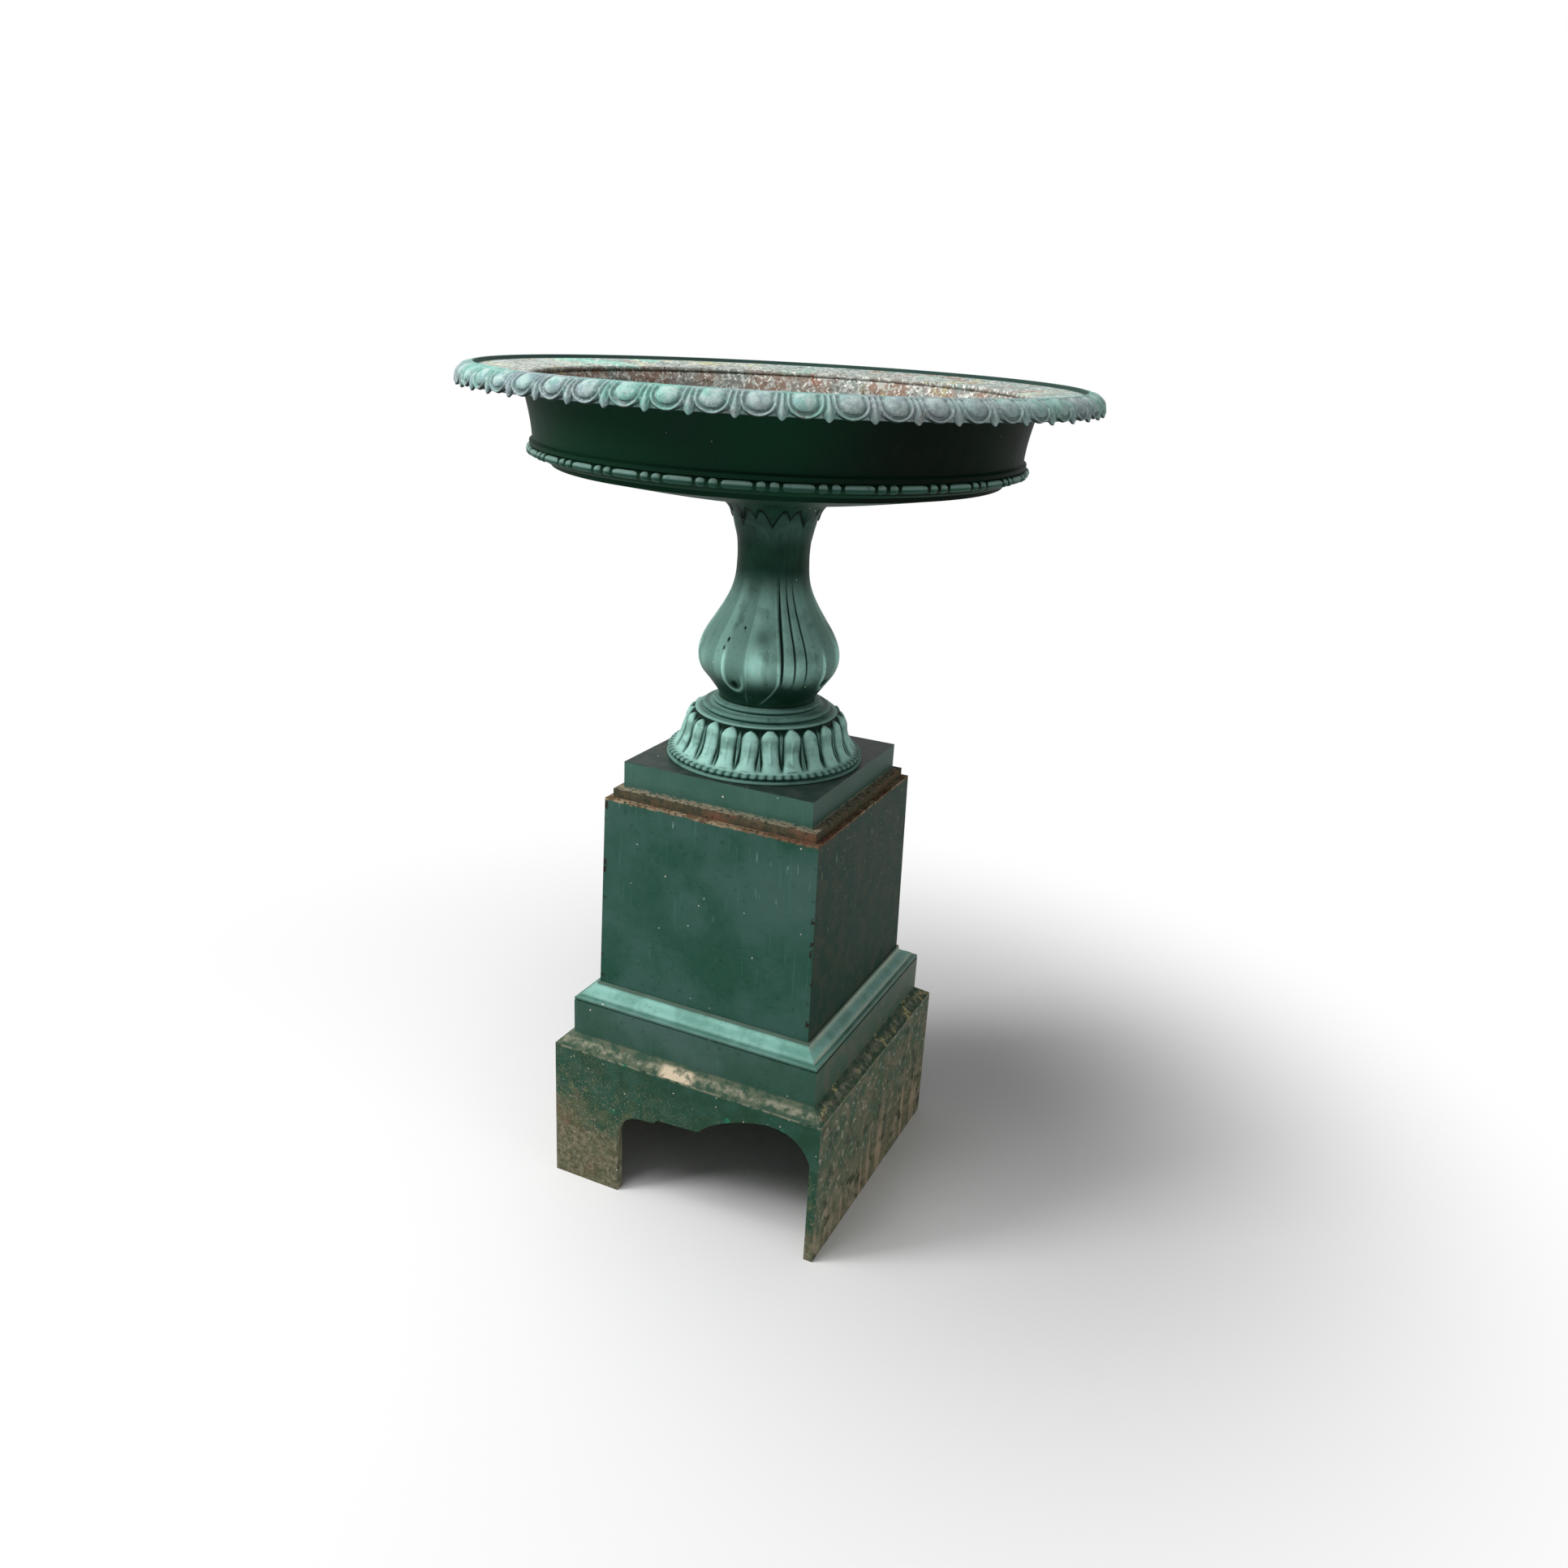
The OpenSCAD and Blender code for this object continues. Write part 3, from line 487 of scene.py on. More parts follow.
class Tree:
    """Shorthand for one node tree: each call adds a node and gives its output socket."""

    def __init__(self, tree):
        self.tree = tree

    def add(self, kind, inputs, output=0, **settings):
        node = self.tree.nodes.new(kind)
        for name, value in settings.items():
            setattr(node, name, value)
        for key, value in inputs.items():
            self.feed(node.inputs[key], value)
        return node.outputs[output]

    def feed(self, socket, value):
        """Links an output to the socket, or sets a constant on it."""
        if isinstance(value, bpy.types.NodeSocket):
            self.tree.links.new(value, socket)
        else:
            socket.default_value = value

    def math(self, operation, a, b=0.0):
        return self.add("ShaderNodeMath", {0: a, 1: b}, operation=operation,
                        use_clamp=operation == "MULTIPLY")

    def times_plus(self, value, factor, base):
        """value * factor + base."""
        return self.add("ShaderNodeMath", {0: value, 1: factor, 2: base}, operation="MULTIPLY_ADD")

    def scaled(self, vector, factors):
        """Vector with each part multiplied by its own factor."""
        return self.add("ShaderNodeVectorMath", {0: vector, 1: factors}, operation="MULTIPLY")

    def between(self, value, start, end):
        """From start to end as value goes from 0 to 1."""
        return self.add("ShaderNodeMapRange", {"Value": value, "To Min": start, "To Max": end})

    def span(self, value, low, high):
        """Smooth step from 0 at low to 1 at high, where low may be the greater."""
        return self.add("ShaderNodeMapRange", {"Value": value, "From Min": low, "From Max": high},
                        interpolation_type="SMOOTHSTEP")

    def mix(self, mask, under, over):
        return self.add("ShaderNodeMix", {0: mask, 6: under, 7: over}, 2, data_type="RGBA")

    def noise(self, vector, scale, detail=4.0, roughness=0.6):
        return self.add("ShaderNodeTexNoise", {"Vector": vector, "Scale": scale, "Detail": detail,
                                               "Roughness": roughness})

    def parts(self, vector):
        node = self.tree.nodes.new("ShaderNodeSeparateXYZ")
        self.tree.links.new(vector, node.inputs[0])
        return node.outputs


def effect_group(name, inputs, outputs, build):
    """Node group with named inputs and outputs, filled by build(tree, inputs) -> outputs."""
    group = bpy.data.node_groups.new(name, "ShaderNodeTree")
    for socket_name, kind, value in inputs:
        socket = group.interface.new_socket(socket_name, in_out="INPUT", socket_type=kind)
        if value is not None:
            socket.default_value = value
    for socket_name, kind in outputs:
        group.interface.new_socket(socket_name, in_out="OUTPUT", socket_type=kind)
    entry = group.nodes.new("NodeGroupInput")
    leave = group.nodes.new("NodeGroupOutput")
    results = build(Tree(group), entry.outputs)
    for (socket_name, _), result in zip(outputs, results):
        group.links.new(result, leave.inputs[socket_name])
    return group


def build_patches(tree, inputs):
    """Cloudy patches: where fractal noise passes from Low to High."""
    noise = tree.noise(inputs["Vector"], inputs["Scale"], 5.0, 0.62)
    return [tree.span(noise, inputs["Low"], inputs["High"])]


def build_runs(tree, inputs):
    """Streaks that water leaves: the same noise, stretched along Z."""
    noise = tree.noise(tree.scaled(inputs["Vector"], (1.0, 1.0, 0.07)), inputs["Scale"], 3.0, 0.5)
    return [tree.span(noise, inputs["Low"], inputs["High"])]


def build_specks(tree, inputs):
    """Specks: round cells, of which only the share with a low random value is kept."""
    wobble = tree.noise(inputs["Vector"], 300.0, 2.0, 0.5)
    vector = tree.add("ShaderNodeVectorMath", {0: wobble, 1: (0.003, 0.003, 0.003), 2: inputs["Vector"]},
                      operation="MULTIPLY_ADD")
    cells = tree.tree.nodes.new("ShaderNodeTexVoronoi")
    tree.tree.links.new(vector, cells.inputs["Vector"])
    tree.tree.links.new(inputs["Scale"], cells.inputs["Scale"])
    near = tree.math("LESS_THAN", cells.outputs["Distance"], inputs["Size"])
    chance = tree.parts(cells.outputs["Color"])[0]
    kept = tree.math("LESS_THAN", chance, inputs["Share"])
    return [tree.math("MULTIPLY", near, kept)]


def build_cast_skin(tree, inputs):
    """Height of a sand-cast, brush-painted surface: broad waves, fine grain and brush strokes."""
    waves = tree.noise(inputs["Vector"], 38.0, 3.0, 0.5)
    grain = tree.noise(inputs["Vector"], 420.0, 4.0, 0.65)
    strokes = tree.noise(tree.scaled(inputs["Vector"], (1.0, 1.0, 0.12)), 260.0, 2.0, 0.5)
    return [tree.times_plus(strokes, 0.25, tree.times_plus(grain, inputs["Grain"], waves))]


VECTOR_IN = ("Vector", "NodeSocketVector", None)
SPAN_IN = [VECTOR_IN, ("Scale", "NodeSocketFloat", 10.0), ("Low", "NodeSocketFloat", 0.5),
           ("High", "NodeSocketFloat", 0.6)]
SPECKS_IN = [VECTOR_IN, ("Scale", "NodeSocketFloat", 100.0), ("Size", "NodeSocketFloat", 0.3),
             ("Share", "NodeSocketFloat", 0.1)]
MASK_OUT = [("Mask", "NodeSocketFloat")]
PATCHES = effect_group("cloudy patches", SPAN_IN, MASK_OUT, build_patches)
RUNS = effect_group("water runs", SPAN_IN, MASK_OUT, build_runs)
SPECKS = effect_group("specks", SPECKS_IN, MASK_OUT, build_specks)
CAST_SKIN = effect_group("cast skin", [VECTOR_IN, ("Grain", "NodeSocketFloat", 0.5)],
                         [("Height", "NodeSocketFloat")], build_cast_skin)


class Finish(Tree):
    """One material under construction: coordinates, effects, and its Principled BSDF."""

    def __init__(self, name, specular):
        self.material = bpy.data.materials.new(name)
        self.material.use_nodes = True
        super().__init__(self.material.node_tree)
        self.surface = self.tree.nodes["Principled BSDF"]
        self.surface.inputs["Specular IOR Level"].default_value = specular
        self.place = self.add("ShaderNodeTexCoord", {}, "Object")
        self.x, self.y, self.z = self.parts(self.place)
        self.normal = self.add("ShaderNodeNewGeometry", {}, "Normal")
        self.facing_right, _, self.facing_up = self.parts(self.normal)

    def effect(self, group, **values):
        """Places an effect group on Object coordinates and gives its output."""
        return self.add("ShaderNodeGroup", {"Vector": self.place, **values}, node_tree=group)

    def patches(self, scale, low, high):
        return self.effect(PATCHES, Scale=scale, Low=low, High=high)

    def runs(self, scale, low, high):
        return self.effect(RUNS, Scale=scale, Low=low, High=high)

    def specks(self, scale, size, share):
        return self.effect(SPECKS, Scale=scale, Size=size, Share=share)

    def both(self, *masks):
        """Product of masks and numbers."""
        product = masks[0]
        for mask in masks[1:]:
            product = self.math("MULTIPLY", product, mask)
        return product

    def mark(self, name):
        return self.add("ShaderNodeAttribute", {}, "Fac", attribute_name=name)

    def on_right(self):
        """1 on faces that look towards +X."""
        return self.span(self.facing_right, 0.4, 0.8)

    def over(self, colour, scale, low, high, tone, *shares):
        """Lays a tone over the colour in cloudy patches, thinned by masks and numbers."""
        return self.mix(self.both(self.patches(scale, low, high), *shares), colour, tone)

    def layers(self, colour, *layers):
        """Lays tones over the colour in turn; a layer is what over() takes after the colour."""
        for layer in layers:
            colour = self.over(colour, *layer)
        return colour

    def done(self, colour, roughness, grain=0.5, bump=0.25, metallic=0.0):
        """Connects the surface, with the cast skin as its bump, and gives the material."""
        height = self.effect(CAST_SKIN, Grain=grain)
        normal = self.add("ShaderNodeBump", {"Height": height, "Strength": bump, "Distance": 0.002})
        for name, value in (("Base Color", colour), ("Roughness", roughness), ("Normal", normal),
                            ("Metallic", metallic)):
            self.feed(self.surface.inputs[name], value)
        return self.material


GREEN = rgb(37, 76, 62)
GREEN_GREY = rgb(56, 89, 80)
GREEN_DARK = rgb(13, 36, 28)
GREEN_PALE = rgb(92, 150, 135)
RUST = rgb(112, 76, 58)
RUST_ORANGE = rgb(158, 98, 66)
TAN = rgb(132, 114, 90)
SOIL = rgb(84, 76, 62)
CREAM = rgb(206, 200, 184)
LICHEN = rgb(204, 200, 138)
GREY_CRUMBS = rgb(150, 148, 128)
STONE_GREY = rgb(112, 112, 104)
BRIGHT_GREEN = rgb(36, 120, 88)


def green_paint(finish):
    """Satin green with cloudy and fine changes of tone and faint, fine runs."""
    colour = finish.over(GREEN, 6.0, 0.42, 0.62, GREEN_GREY)
    colour = finish.mix(finish.both(finish.runs(190.0, 0.60, 0.78), 0.14), colour, GREEN_PALE)
    colour = finish.over(colour, 90.0, 0.56, 0.72, GREEN_DARK, 0.4)
    return finish.over(colour, 300.0, 0.56, 0.70, rgb(72, 100, 86), 0.35)


def right_side(finish, colour, share, ground, patch):
    """Side that faces +X in its own tones: a ground tone and patches cover a share of the colour.
    Each caller sets how much of them is dirt and how much is painted light and shade for that side.
    """
    side = finish.over(ground, 34.0, 0.42, 0.62, patch)
    return finish.mix(finish.both(finish.on_right(), share), colour, side)


def die_paint():
    """Paint of the die: a thin line of rust and dirt on its top edge, a pale cloud high up that is a
    painted reflection, white drips, a right side that is browner with dirt and darker as painted
    shade, and rust chips on the upright edges."""
    finish = Finish("die_paint", specular=0.05)
    colour = green_paint(finish)
    height = finish.span(finish.z, die_low.z, die_high.z)
    # Painted reflection: a pale grey-green cloud over the upper part of the die.
    colour = finish.over(colour, 4.5, 0.38, 0.60, rgb(70, 100, 94), height, 0.6)
    # Right face: brown patches of dirt, on a darker green that is painted shade.
    colour = right_side(finish, colour, 0.90, rgb(26, 52, 42), rgb(50, 60, 48))
    colour = finish.over(colour, 130.0, 0.60, 0.68, rgb(150, 142, 122), finish.on_right(), height, 0.5)
    drips = finish.both(finish.runs(300.0, 0.67, 0.72), finish.patches(9.0, 0.54, 0.62), height, 0.7)
    colour = finish.mix(drips, colour, rgb(140, 172, 164))
    colour = finish.mix(finish.specks(120.0, 0.13, 0.03), colour, CREAM)
    sides = [finish.math("ABSOLUTE", axis) for axis in (finish.x, finish.y)]
    near_edge = finish.math("DIVIDE", finish.math("MINIMUM", *sides), finish.math("MAXIMUM", *sides))
    colour = finish.over(colour, 45.0, 0.55, 0.61, rgb(40, 30, 24), finish.span(near_edge, 0.955, 0.985))
    ragged = finish.times_plus(finish.noise(finish.place, 70.0), 10 * MM, finish.z)
    edge = finish.span(ragged, die_high.z + 0.5 * MM, die_high.z + 3.0 * MM)
    near_corner = finish.span(finish.math("SUBTRACT", finish.x, finish.y), 160 * MM, 320 * MM)
    crumbs = finish.layers(
        finish.mix(near_corner, rgb(158, 142, 116), rgb(124, 88, 72)),
        (60.0, 0.46, 0.60, rgb(112, 92, 70)),
        (160.0, 0.50, 0.60, rgb(78, 62, 48)))
    colour = finish.mix(edge, colour, crumbs)
    return finish.done(colour, finish.between(edge, 0.50, 0.85))


def moulding_paint():
    """Paint of the base moulding: a pale cyma that is mostly a painted highlight over slightly paler
    paint, a clean band that is browner and, as painted light, lighter on the right, and a dusty ledge
    with a light line, a cream patch in front and at the back, and yellow lichen on the right."""
    finish = Finish("moulding_paint", specular=0.2)
    colour = green_paint(finish)
    height = finish.math("SUBTRACT", finish.z, moulding_low.z)
    cyma = finish.span(height, 73 * MM, 85 * MM)
    # Painted highlight on the cyma, paler still on its right side, over slightly paler paint.
    painted_highlight = finish.over(rgb(140, 194, 182), 26.0, 0.40, 0.62, rgb(112, 166, 152))
    painted_highlight = right_side(finish, painted_highlight, 0.90, rgb(164, 194, 176), rgb(192, 202, 182))
    colour = finish.mix(finish.both(cyma, 0.85), colour, painted_highlight)
    colour = finish.over(colour, 150.0, 0.62, 0.70, rgb(70, 100, 88), cyma, 0.5)
    # Band's right side: brown patches of dirt, and a lighter green that is painted light.
    band = right_side(finish, colour, 0.7, rgb(66, 90, 74), rgb(96, 98, 80))
    colour = finish.mix(finish.span(height, 73 * MM, 70 * MM), colour, band)
    ledge = finish.span(height, 19 * MM, 14 * MM)
    dust = finish.over(rgb(52, 78, 63), 70.0, 0.40, 0.60, rgb(88, 98, 80))
    line = finish.both(finish.span(height, 2 * MM, 5 * MM), finish.span(height, 12 * MM, 8 * MM))
    dust = finish.over(dust, 90.0, 0.40, 0.64, GREY_CRUMBS, line, 0.8)
    dust = finish.over(dust, 34.0, 0.60, 0.70, rgb(92, 76, 58), 0.8)
    from_patch = finish.math("ABSOLUTE", finish.math("SUBTRACT", finish.x, CREAM_PATCH_X))
    patch = finish.both(finish.span(from_patch, 34 * MM, 20 * MM), finish.span(height, 14 * MM, 9 * MM),
                        finish.span(finish.facing_right, 0.5, 0.2))
    dust = finish.over(dust, 80.0, 0.36, 0.50, rgb(206, 190, 164), patch)
    turned_right = finish.span(finish.facing_right, 0.2, 0.5)
    dust = finish.over(dust, 60.0, 0.56, 0.64, rgb(176, 168, 118), turned_right)
    colour = finish.mix(ledge, colour, dust)
    top = finish.span(finish.z, moulding_high.z - 6 * MM, moulding_high.z - 3 * MM)
    colour = finish.mix(finish.both(top, 0.8), colour, rgb(78, 84, 70))
    colour = finish.mix(finish.specks(90.0, 0.12, 0.05), colour, CREAM)
    return finish.done(colour, finish.between(ledge, 0.40, 0.9), bump=0.18)


def plinth_paint():
    """Paint of the plinth: soil rises from the ground, higher at the left and the back, over
    green that is speckled with olive; the right side is brown with soil and, as painted light,
    lighter than the front, with light streaks."""
    finish = Finish("plinth_paint", specular=0.10)
    colour = finish.over(rgb(30, 66, 48), 26.0, 0.40, 0.62, rgb(40, 78, 64))
    # Right side: browner with soil, and lighter as painted light.
    colour = right_side(finish, colour, 0.85, rgb(68, 92, 72), rgb(122, 116, 94))
    colour = finish.over(colour, 110.0, 0.56, 0.66, rgb(190, 188, 170), finish.on_right(), 0.7)
    to_left = finish.add("ShaderNodeMapRange", {"Value": finish.x, "From Min": PLINTH_HALF,
                                                "From Max": -PLINTH_HALF})
    to_back = finish.add("ShaderNodeMapRange", {"Value": finish.y, "From Min": -PLINTH_HALF,
                                                "From Max": PLINTH_HALF, "To Min": 45 * MM,
                                                "To Max": 100 * MM})
    level = finish.times_plus(finish.math("POWER", to_left, 2.0), 100 * MM, to_back)
    ragged = finish.times_plus(finish.noise(finish.place, 22.0, 6.0, 0.7), -160 * MM, level)
    above = finish.math("SUBTRACT", finish.z, ragged)
    soil = finish.span(above, 110 * MM, 50 * MM)
    earth = finish.layers(
        rgb(88, 84, 66),
        (95.0, 0.36, 0.64, rgb(142, 134, 114)),
        (240.0, 0.40, 0.66, rgb(66, 68, 52), 0.7),
        (52.0, 0.54, 0.70, rgb(52, 70, 54), 0.6),
        (14.0, 0.56, 0.70, rgb(116, 84, 64), 0.5))
    earth = right_side(finish, earth, 0.6, rgb(118, 120, 98), rgb(176, 166, 142))
    colour = finish.over(colour, 120.0, 0.26, 0.44, earth, soil)
    splashed = finish.span(above, 240 * MM, 70 * MM)
    colour = finish.over(colour, 60.0, 0.42, 0.66, rgb(82, 92, 66), splashed, 0.75)
    sprayed = finish.span(above, 260 * MM, 80 * MM)
    colour = finish.over(colour, 260.0, 0.52, 0.66, rgb(134, 128, 102), sprayed, 0.7)
    streaks = finish.both(finish.runs(46.0, 0.50, 0.62), finish.span(above, 180 * MM, 50 * MM),
                          finish.on_right(), 0.7)
    colour = finish.mix(streaks, colour, rgb(176, 156, 132))
    colour = finish.over(colour, 30.0, 0.54, 0.64, rgb(46, 56, 45), finish.on_right(), 0.7)
    high = finish.span(finish.z, 100 * MM, 160 * MM)
    colour = finish.over(colour, 44.0, 0.62, 0.70, BRIGHT_GREEN, high, 0.8)
    chipped = finish.span(finish.z, plinth_high.z - 5 * MM, plinth_high.z - 1 * MM)
    colour = finish.over(colour, 75.0, 0.40, 0.56, rgb(150, 148, 126), chipped, 0.7)
    colour = finish.mix(finish.specks(150.0, 0.16, 0.06), colour, CREAM)
    return finish.done(colour, finish.between(soil, 0.5, 0.92), grain=0.8, bump=0.4)


def flaked_inside(finish):
    """Tones inside the rim and the bowl: pale grey above, brown below, full of white flakes,
    dark pits, lichen and a little verdigris; towards the floor the flakes give way to dirt."""
    high = finish.span(finish.z, rim_high.z - 22 * MM, rim_high.z - 7 * MM)
    colour = finish.layers(
        finish.mix(high, rgb(144, 122, 108), rgb(138, 154, 150)),
        (9.0, 0.44, 0.62, rgb(132, 140, 136)),
        (17.0, 0.54, 0.68, rgb(146, 100, 82), 0.8),
        (7.0, 0.58, 0.64, rgb(134, 194, 176), high),
        (10.0, 0.54, 0.66, LICHEN, finish.patches(120.0, 0.46, 0.58)),
        (95.0, 0.48, 0.62, rgb(196, 202, 196), 0.8),
        (175.0, 0.56, 0.62, rgb(228, 230, 222)),
        (150.0, 0.42, 0.36, rgb(100, 92, 80)))
    dirt = finish.layers(
        rgb(100, 88, 70),
        (16.0, 0.36, 0.64, rgb(80, 72, 58)),
        (7.0, 0.54, 0.68, rgb(78, 92, 72), 0.5),
        (110.0, 0.44, 0.62, rgb(62, 54, 43), 0.6),
        (240.0, 0.56, 0.66, rgb(158, 148, 126), 0.6))
    low = finish.span(finish.z, bowl_high.z - 20 * MM, bowl_high.z - 60 * MM)
    return finish.mix(low, colour, dirt)


def bowl_paint():
    """Dark green outside, much darker on the right as painted shade; inside, old flaking paint over
    rust.
    """
    finish = Finish("bowl_paint", specular=0.02)
    outside = finish.over(rgb(20, 54, 38), 7.0, 0.4, 0.65, rgb(25, 50, 38))
    # Painted shade: the outside turns nearly black-green on the right, with a brown tint.
    outside = right_side(finish, outside, 0.85, rgb(10, 18, 12), rgb(18, 20, 14))
    outside = finish.mix(finish.specks(90.0, 0.10, 0.02), outside, STONE_GREY)
    radial = finish.scaled(finish.place, (1, 1, 0))
    outward = finish.add("ShaderNodeVectorMath", {0: finish.normal, 1: radial}, "Value",
                         operation="DOT_PRODUCT")
    radius = finish.add("ShaderNodeVectorMath", {0: radial}, "Value", operation="LENGTH")
    on_floor = finish.both(finish.math("LESS_THAN", radius, WALL_R - 6 * MM),
                           finish.math("GREATER_THAN", finish.facing_up, 0.1))
    is_inside = finish.math("MAXIMUM", on_floor, finish.math("LESS_THAN", outward, -0.02))
    colour = finish.mix(is_inside, outside, flaked_inside(finish))
    return finish.done(colour, finish.between(is_inside, 0.50, 0.9), bump=0.2)


def ornament_paint(name, plain, sheen_tone, sheen_share, patch=16.0, up=(-0.30, 0.50)):
    """Green paint on ornament, with a painted highlight where relief stands proud and looks up, and
    painted shade in the hollows.

    up is the span of the normal's Z over which the highlight tone comes in. A mark per casting
    says where on it the painted highlight may come.
    """
    finish = Finish(name, specular=0.05)
    relief = finish.mark("relief")
    colour = finish.over(plain, patch, 0.4, 0.62, GREEN, 0.5)
    cloudy = finish.both(finish.patches(patch, 0.18, 0.46), finish.runs(34.0, 0.14, 0.40))
    proud = finish.span(relief, 0.22, 0.72)
    # Painted highlight: a pale tone on proud relief that looks up, broken by clouds, where the casting's
    # mark allows it.
    painted_sheen = finish.both(proud, cloudy, finish.span(finish.facing_up, *up), finish.mark("painted_highlight"), sheen_share)
    colour = finish.mix(painted_sheen, colour, sheen_tone)
    # Painted shade in the hollows, where the relief mark is low.
    colour = finish.mix(finish.span(relief, 0.34, 0.08), colour, rgb(10, 28, 21))
    colour = finish.over(colour, 210.0, 0.58, 0.70, plain, 0.4)
    colour = finish.mix(finish.specks(140.0, 0.16, 0.03), colour, CREAM)
    return finish.done(colour, 0.46, bump=0.26)


def rim_paint():
    """Old paint of the rim: verdigris and mauve-grey in turns, paler to the right, with painted
    shade in the hollows and on the undersides and rust low down; the slope inside is flaked, and
    a dark green line behind the crest is partly its paint and partly painted shade under the lip."""
    finish = Finish("rim_paint", specular=0.12)
    relief, egg, inside = finish.mark("relief"), finish.mark("egg"), finish.mark("inside")
    colour = finish.layers(
        rgb(104, 166, 152),
        (5.0, 0.44, 0.58, rgb(132, 136, 146)),
        (11.0, 0.46, 0.64, rgb(128, 154, 156)),
        (60.0, 0.46, 0.64, rgb(104, 132, 126), 0.5))
    # Painted shade in the hollows of the band and on its back behind the notches.
    colour = finish.mix(finish.both(finish.span(relief, 0.62, 0.05), 0.6), colour, rgb(84, 104, 100))
    colour = finish.over(colour, 24.0, 0.44, 0.62, rgb(118, 166, 158), egg, 0.8)
    proud = finish.span(relief, 0.55, 0.80)
    colour = finish.over(colour, 80.0, 0.40, 0.58, rgb(182, 200, 194), proud, 0.5)
    colour = finish.over(colour, 190.0, 0.52, 0.62, rgb(188, 200, 194), 0.4)
    colour = finish.over(colour, 230.0, 0.55, 0.65, rgb(84, 98, 92), 0.4)
    pale_end = finish.both(finish.span(finish.x, -100 * MM, 400 * MM), 0.22)
    colour = finish.mix(pale_end, colour, rgb(176, 198, 192))
    dull_end = finish.both(finish.span(finish.x, -200 * MM, -400 * MM), 0.40)
    colour = finish.mix(dull_end, colour, rgb(92, 118, 112))
    low = finish.span(finish.z, rim_high.z, rim_low.z)
    colour = finish.over(colour, 34.0, 0.59, 0.68, rgb(120, 90, 76), low)
    # Painted shade on the undersides.
    colour = finish.mix(finish.span(finish.facing_up, -0.30, -0.80), colour, rgb(22, 40, 34))
    colour = finish.mix(inside, colour, flaked_inside(finish))
    # Dark green line behind the crest: partly its paint, partly painted shade under the lip.
    colour = finish.mix(finish.mark("edge"), colour, rgb(34, 56, 50))
    return finish.done(colour, 0.70, grain=0.9, bump=0.4)


def foot_paint():
    """Paint of the foot: clean sides with crumbs along their lower edge, a right side that is darker
    as painted shade and a little browner with dirt, a dusty dark top and scattered white specks."""
    finish = Finish("foot_paint", specular=0.12)
    colour = green_paint(finish)
    colour = finish.mix(0.25, colour, rgb(96, 136, 124))
    # Painted shade on the right side, with brown patches of dirt.
    colour = right_side(finish, colour, 0.5, rgb(34, 54, 46), rgb(52, 62, 52))
    top = finish.span(finish.z, foot_high.z - 1.0 * MM, foot_high.z - 0.3 * MM)
    dusty = finish.over(rgb(40, 58, 52), 40.0, 0.42, 0.6, rgb(60, 72, 66))
    colour = finish.mix(top, colour, dusty)
    low = finish.span(finish.z, foot_low.z + 5 * MM, foot_low.z + 1 * MM)
    colour = finish.over(colour, 110.0, 0.40, 0.56, GREY_CRUMBS, low)
    colour = finish.mix(finish.specks(80.0, 0.13, 0.06), colour, CREAM)
    return finish.done(colour, 0.48)


def plate_paint():
    """Loose top plate: dark dirt with rust, and light crumbs on its top."""
    finish = Finish("plate_paint", specular=0.08)
    colour = finish.layers(
        rgb(72, 74, 60),
        (60.0, 0.40, 0.62, rgb(98, 86, 66)),
        (22.0, 0.54, 0.68, rgb(118, 84, 66)),
        (120.0, 0.38, 0.54, rgb(164, 156, 134), finish.span(finish.facing_up, 0.2, 0.8), 0.85),
        (210.0, 0.56, 0.64, rgb(56, 58, 48)))
    return finish.done(colour, 0.88, grain=1.0, bump=0.6)


def old_iron():
    """Bare rusted iron of the brackets: tan dirt, soil and rust, with cream and orange patches."""
    finish = Finish("bracket_iron", specular=0.2)
    dirt = finish.layers(TAN, (140.0, 0.46, 0.62, SOIL), (46.0, 0.56, 0.72, RUST))
    colour = finish.layers(
        SOIL,
        (24.0, 0.36, 0.52, dirt),
        (150.0, 0.58, 0.68, CREAM),
        (33.0, 0.64, 0.74, RUST_ORANGE))
    return finish.done(colour, 0.88, grain=1.0, bump=0.6)


def zinc_hardware():
    """Dull zinc of the bolts and the tie rod, stained with rust."""
    finish = Finish("zinc_hardware", specular=0.5)
    stain = finish.patches(90.0, 0.40, 0.58)
    colour = finish.mix(stain, rgb(168, 170, 166), RUST)
    rough = finish.between(stain, 0.38, 0.85)
    return finish.done(colour, rough, bump=0.2, metallic=finish.between(stain, 1.0, 0.0))


def give(material, *names):
    """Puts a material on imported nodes."""
    for name in names:
        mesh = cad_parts[name].data
        mesh.materials.clear()
        mesh.materials.append(material)


def dress(piece, material, slot, *nodes):
    """Finishes a new piece of the tazza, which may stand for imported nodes."""
    piece.data.materials.append(material)
    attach(piece, "tazza")
    if nodes:
        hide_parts(*nodes)


# Assembly

rim_finish = rim_paint()
dress(egg_and_dart_band(), rim_finish, "rim_paint")
dress(rim_body(), rim_finish, "rim_paint", "rim_ring")
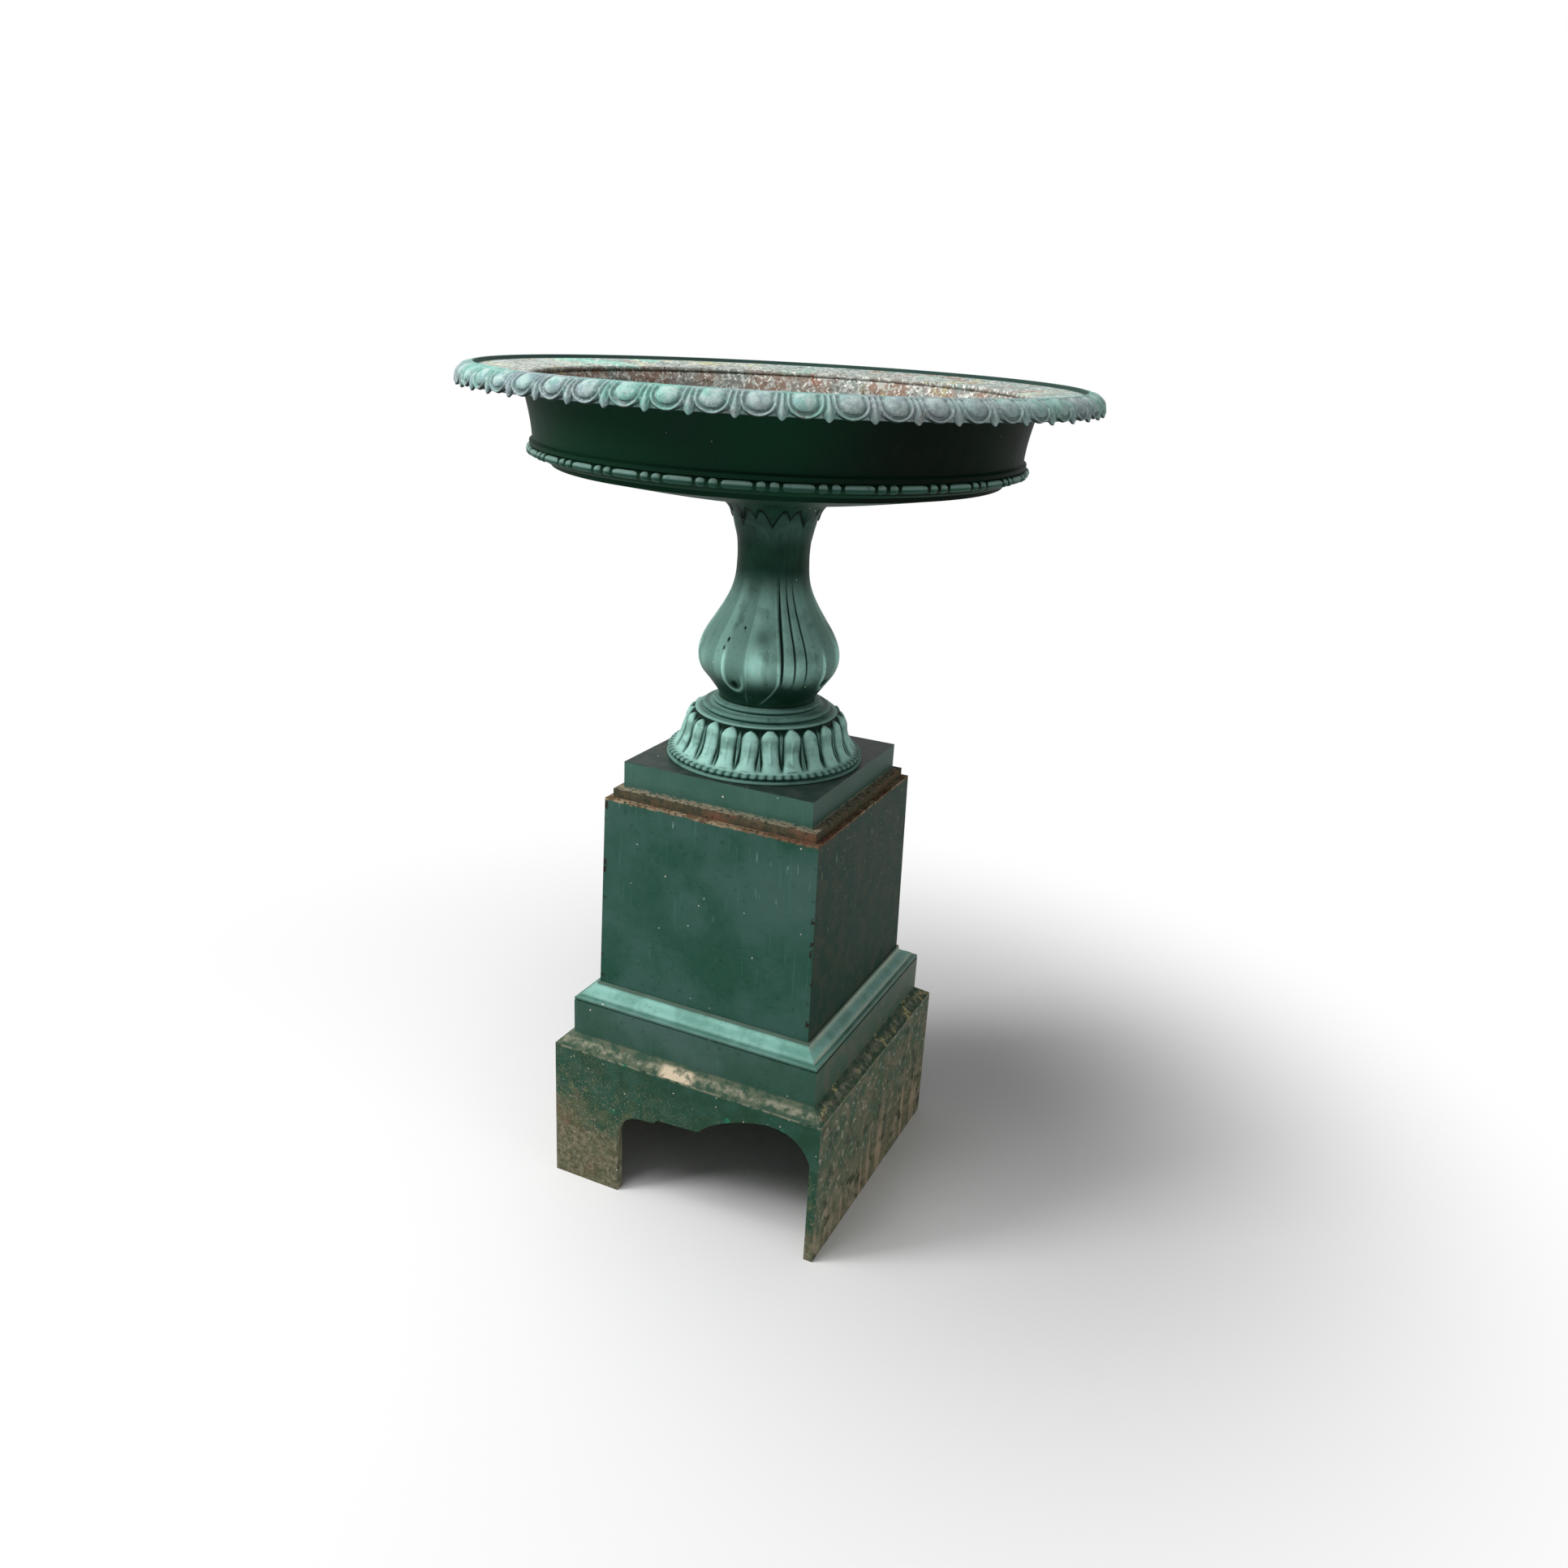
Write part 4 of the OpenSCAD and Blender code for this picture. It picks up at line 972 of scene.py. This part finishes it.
# The second colour of each ornament finish is its painted highlight tone. The very dark plain tones of the
# stem and collar are partly painted shade from the bowl above them.
stem_finish = ornament_paint("stem_paint", rgb(14, 42, 31), rgb(176, 230, 216), 1.0, 12.0, (-1.05, -0.25))
socle_finish = ornament_paint("socle_paint", rgb(36, 74, 62), rgb(172, 222, 210), 1.0, 42.0)
bead_finish = ornament_paint("bead_paint", rgb(38, 74, 62), rgb(164, 204, 192), 0.9, 60.0, (-0.2, 0.7))
collar_finish = ornament_paint("collar_paint", rgb(13, 32, 24), rgb(34, 64, 52), 0.6)
bowl_finish = bowl_paint()
dress(bead_and_reel(), bead_finish, "green_paint")
dress(stem_casting(), stem_finish, "green_paint", "stem")
dress(collar_casting(), collar_finish, "green_paint", "leaf_collar")
dress(socle_casting(), socle_finish, "green_paint", "socle")

give(bowl_finish, "bowl", "rim_screws")
give(foot_paint(), "foot_plate")
give(die_paint(), "die_front", "die_right", "die_back", "die_left")
give(moulding_paint(), "base_moulding")
give(plinth_paint(), "plinth_front", "plinth_right", "plinth_back", "plinth_left")
give(plate_paint(), "top_plate")
give(old_iron(), "plinth_brackets", "die_brackets_lower", "die_brackets_upper")
give(zinc_hardware(), "plinth_bolts", "die_bolts", "top_plate_screws", "tie_rod", "rod_washers", "rod_nuts")


# Studio

def photo_camera():
    """Camera at the photograph's place, turned by azimuth and elevation, then rolled."""
    azimuth, elevation, roll = (math.radians(v) for v in (CAMERA_AZIMUTH, CAMERA_ELEVATION, CAMERA_ROLL))
    back = Vector((math.sin(azimuth) * math.cos(elevation), -math.cos(azimuth) * math.cos(elevation),
                   math.sin(elevation)))
    level = Vector((math.cos(azimuth), math.sin(azimuth), 0))
    up = back.cross(level)
    right = math.cos(roll) * level + math.sin(roll) * up
    top = math.cos(roll) * up - math.sin(roll) * level
    data = bpy.data.cameras.new("photo_camera")
    data.lens = CAMERA_LENS
    data.sensor_width = 36
    camera = new_object("photo_camera", data)
    place = Vector((0, 0, CAMERA_AIM_HEIGHT)) + CAMERA_AIM_RIGHT * level + CAMERA_DISTANCE * back
    camera.matrix_world = Matrix.Translation(place) @ Matrix((right, top, back)).transposed().to_4x4()
    bpy.context.scene.camera = camera


def soft_lamp(name, place, aim, size, power):
    """Square area lamp that faces a point."""
    data = bpy.data.lights.new(name, "AREA")
    data.size = size
    data.energy = power
    lamp = new_object(name, data)
    lamp.location = place
    lamp.rotation_euler = (Vector(aim) - Vector(place)).to_track_quat("-Z", "Y").to_euler()


def white_world(strength):
    """World that lights at the given strength, and looks white to the camera and in gloss."""
    world = bpy.data.worlds.new("studio")
    bpy.context.scene.world = world
    world.use_nodes = True
    tree = Tree(world.node_tree)
    background = world.node_tree.nodes["Background"]
    background.inputs["Color"].default_value = (1, 1, 1, 1)
    level = tree.between(seen_directly(tree), strength, 1.0)
    world.node_tree.links.new(level, background.inputs["Strength"])


def seen_directly(tree):
    """1 for camera, glossy and transmission rays."""
    path = tree.tree.nodes.new("ShaderNodeLightPath")
    rays = tree.math("MAXIMUM", path.outputs["Is Camera Ray"], path.outputs["Is Glossy Ray"])
    return tree.math("MAXIMUM", rays, path.outputs["Is Transmission Ray"])


def pale_floor():
    """Floor disc on z = 0 that takes the shadow near the object and fades into white."""
    columns, rings = 96, np.array([0.0, 0.4, 0.8, 1.6, 3.2, 6.0, 12.0])
    angles = np.arange(columns) * TAU / columns
    points = np.stack([rings[1:, None] * np.cos(angles), rings[1:, None] * np.sin(angles),
                       np.zeros((len(rings) - 1, columns))], axis=-1).reshape(-1, 3)
    points = np.concatenate([points, [[0, 0, 0]]])
    quads = grid_quads(np.arange(len(rings) - 2), len(rings) - 1, columns)[:, ::-1]
    middle = len(points) - 1
    fan = [[middle, k, (k + 1) % columns] for k in range(columns)]
    mesh = bpy.data.meshes.new("floor")
    mesh.from_pydata(points.tolist(), [], quads.tolist() + fan)
    floor = new_object("floor", mesh)
    material = bpy.data.materials.new("floor_white")
    material.use_nodes = True
    tree = Tree(material.node_tree)
    surface = material.node_tree.nodes["Principled BSDF"]
    surface.inputs["Base Color"].default_value = (0.86, 0.86, 0.86, 1)
    surface.inputs["Roughness"].default_value = 0.9
    surface.inputs["Specular IOR Level"].default_value = 0.1
    place = tree.add("ShaderNodeTexCoord", {}, "Object")
    distance = tree.add("ShaderNodeVectorMath", {0: place}, "Value", operation="LENGTH")
    far = tree.math("MULTIPLY", tree.span(distance, 0.5, 1.5), seen_directly(tree))
    white = tree.add("ShaderNodeEmission", {"Color": (1, 1, 1, 1), "Strength": 1.0})
    mixed = tree.add("ShaderNodeMixShader", {0: far, 1: surface.outputs[0], 2: white})
    material.node_tree.links.new(mixed, material.node_tree.nodes["Material Output"].inputs["Surface"])
    mesh.materials.append(material)


photo_camera()
white_world(0.22)
soft_lamp("sky_lamp", (-0.8, -1.0, 3.3), (0, 0, 0.6), 2.0, 84)
soft_lamp("key_lamp", (-2.3, -2.0, 2.4), (0, 0, 0.8), 1.0, 56)
soft_lamp("fill_lamp", (2.4, -0.7, 0.5), (0, 0, 0.3), 1.2, 8)
pale_floor()
bpy.context.scene.view_settings.view_transform = "Standard"
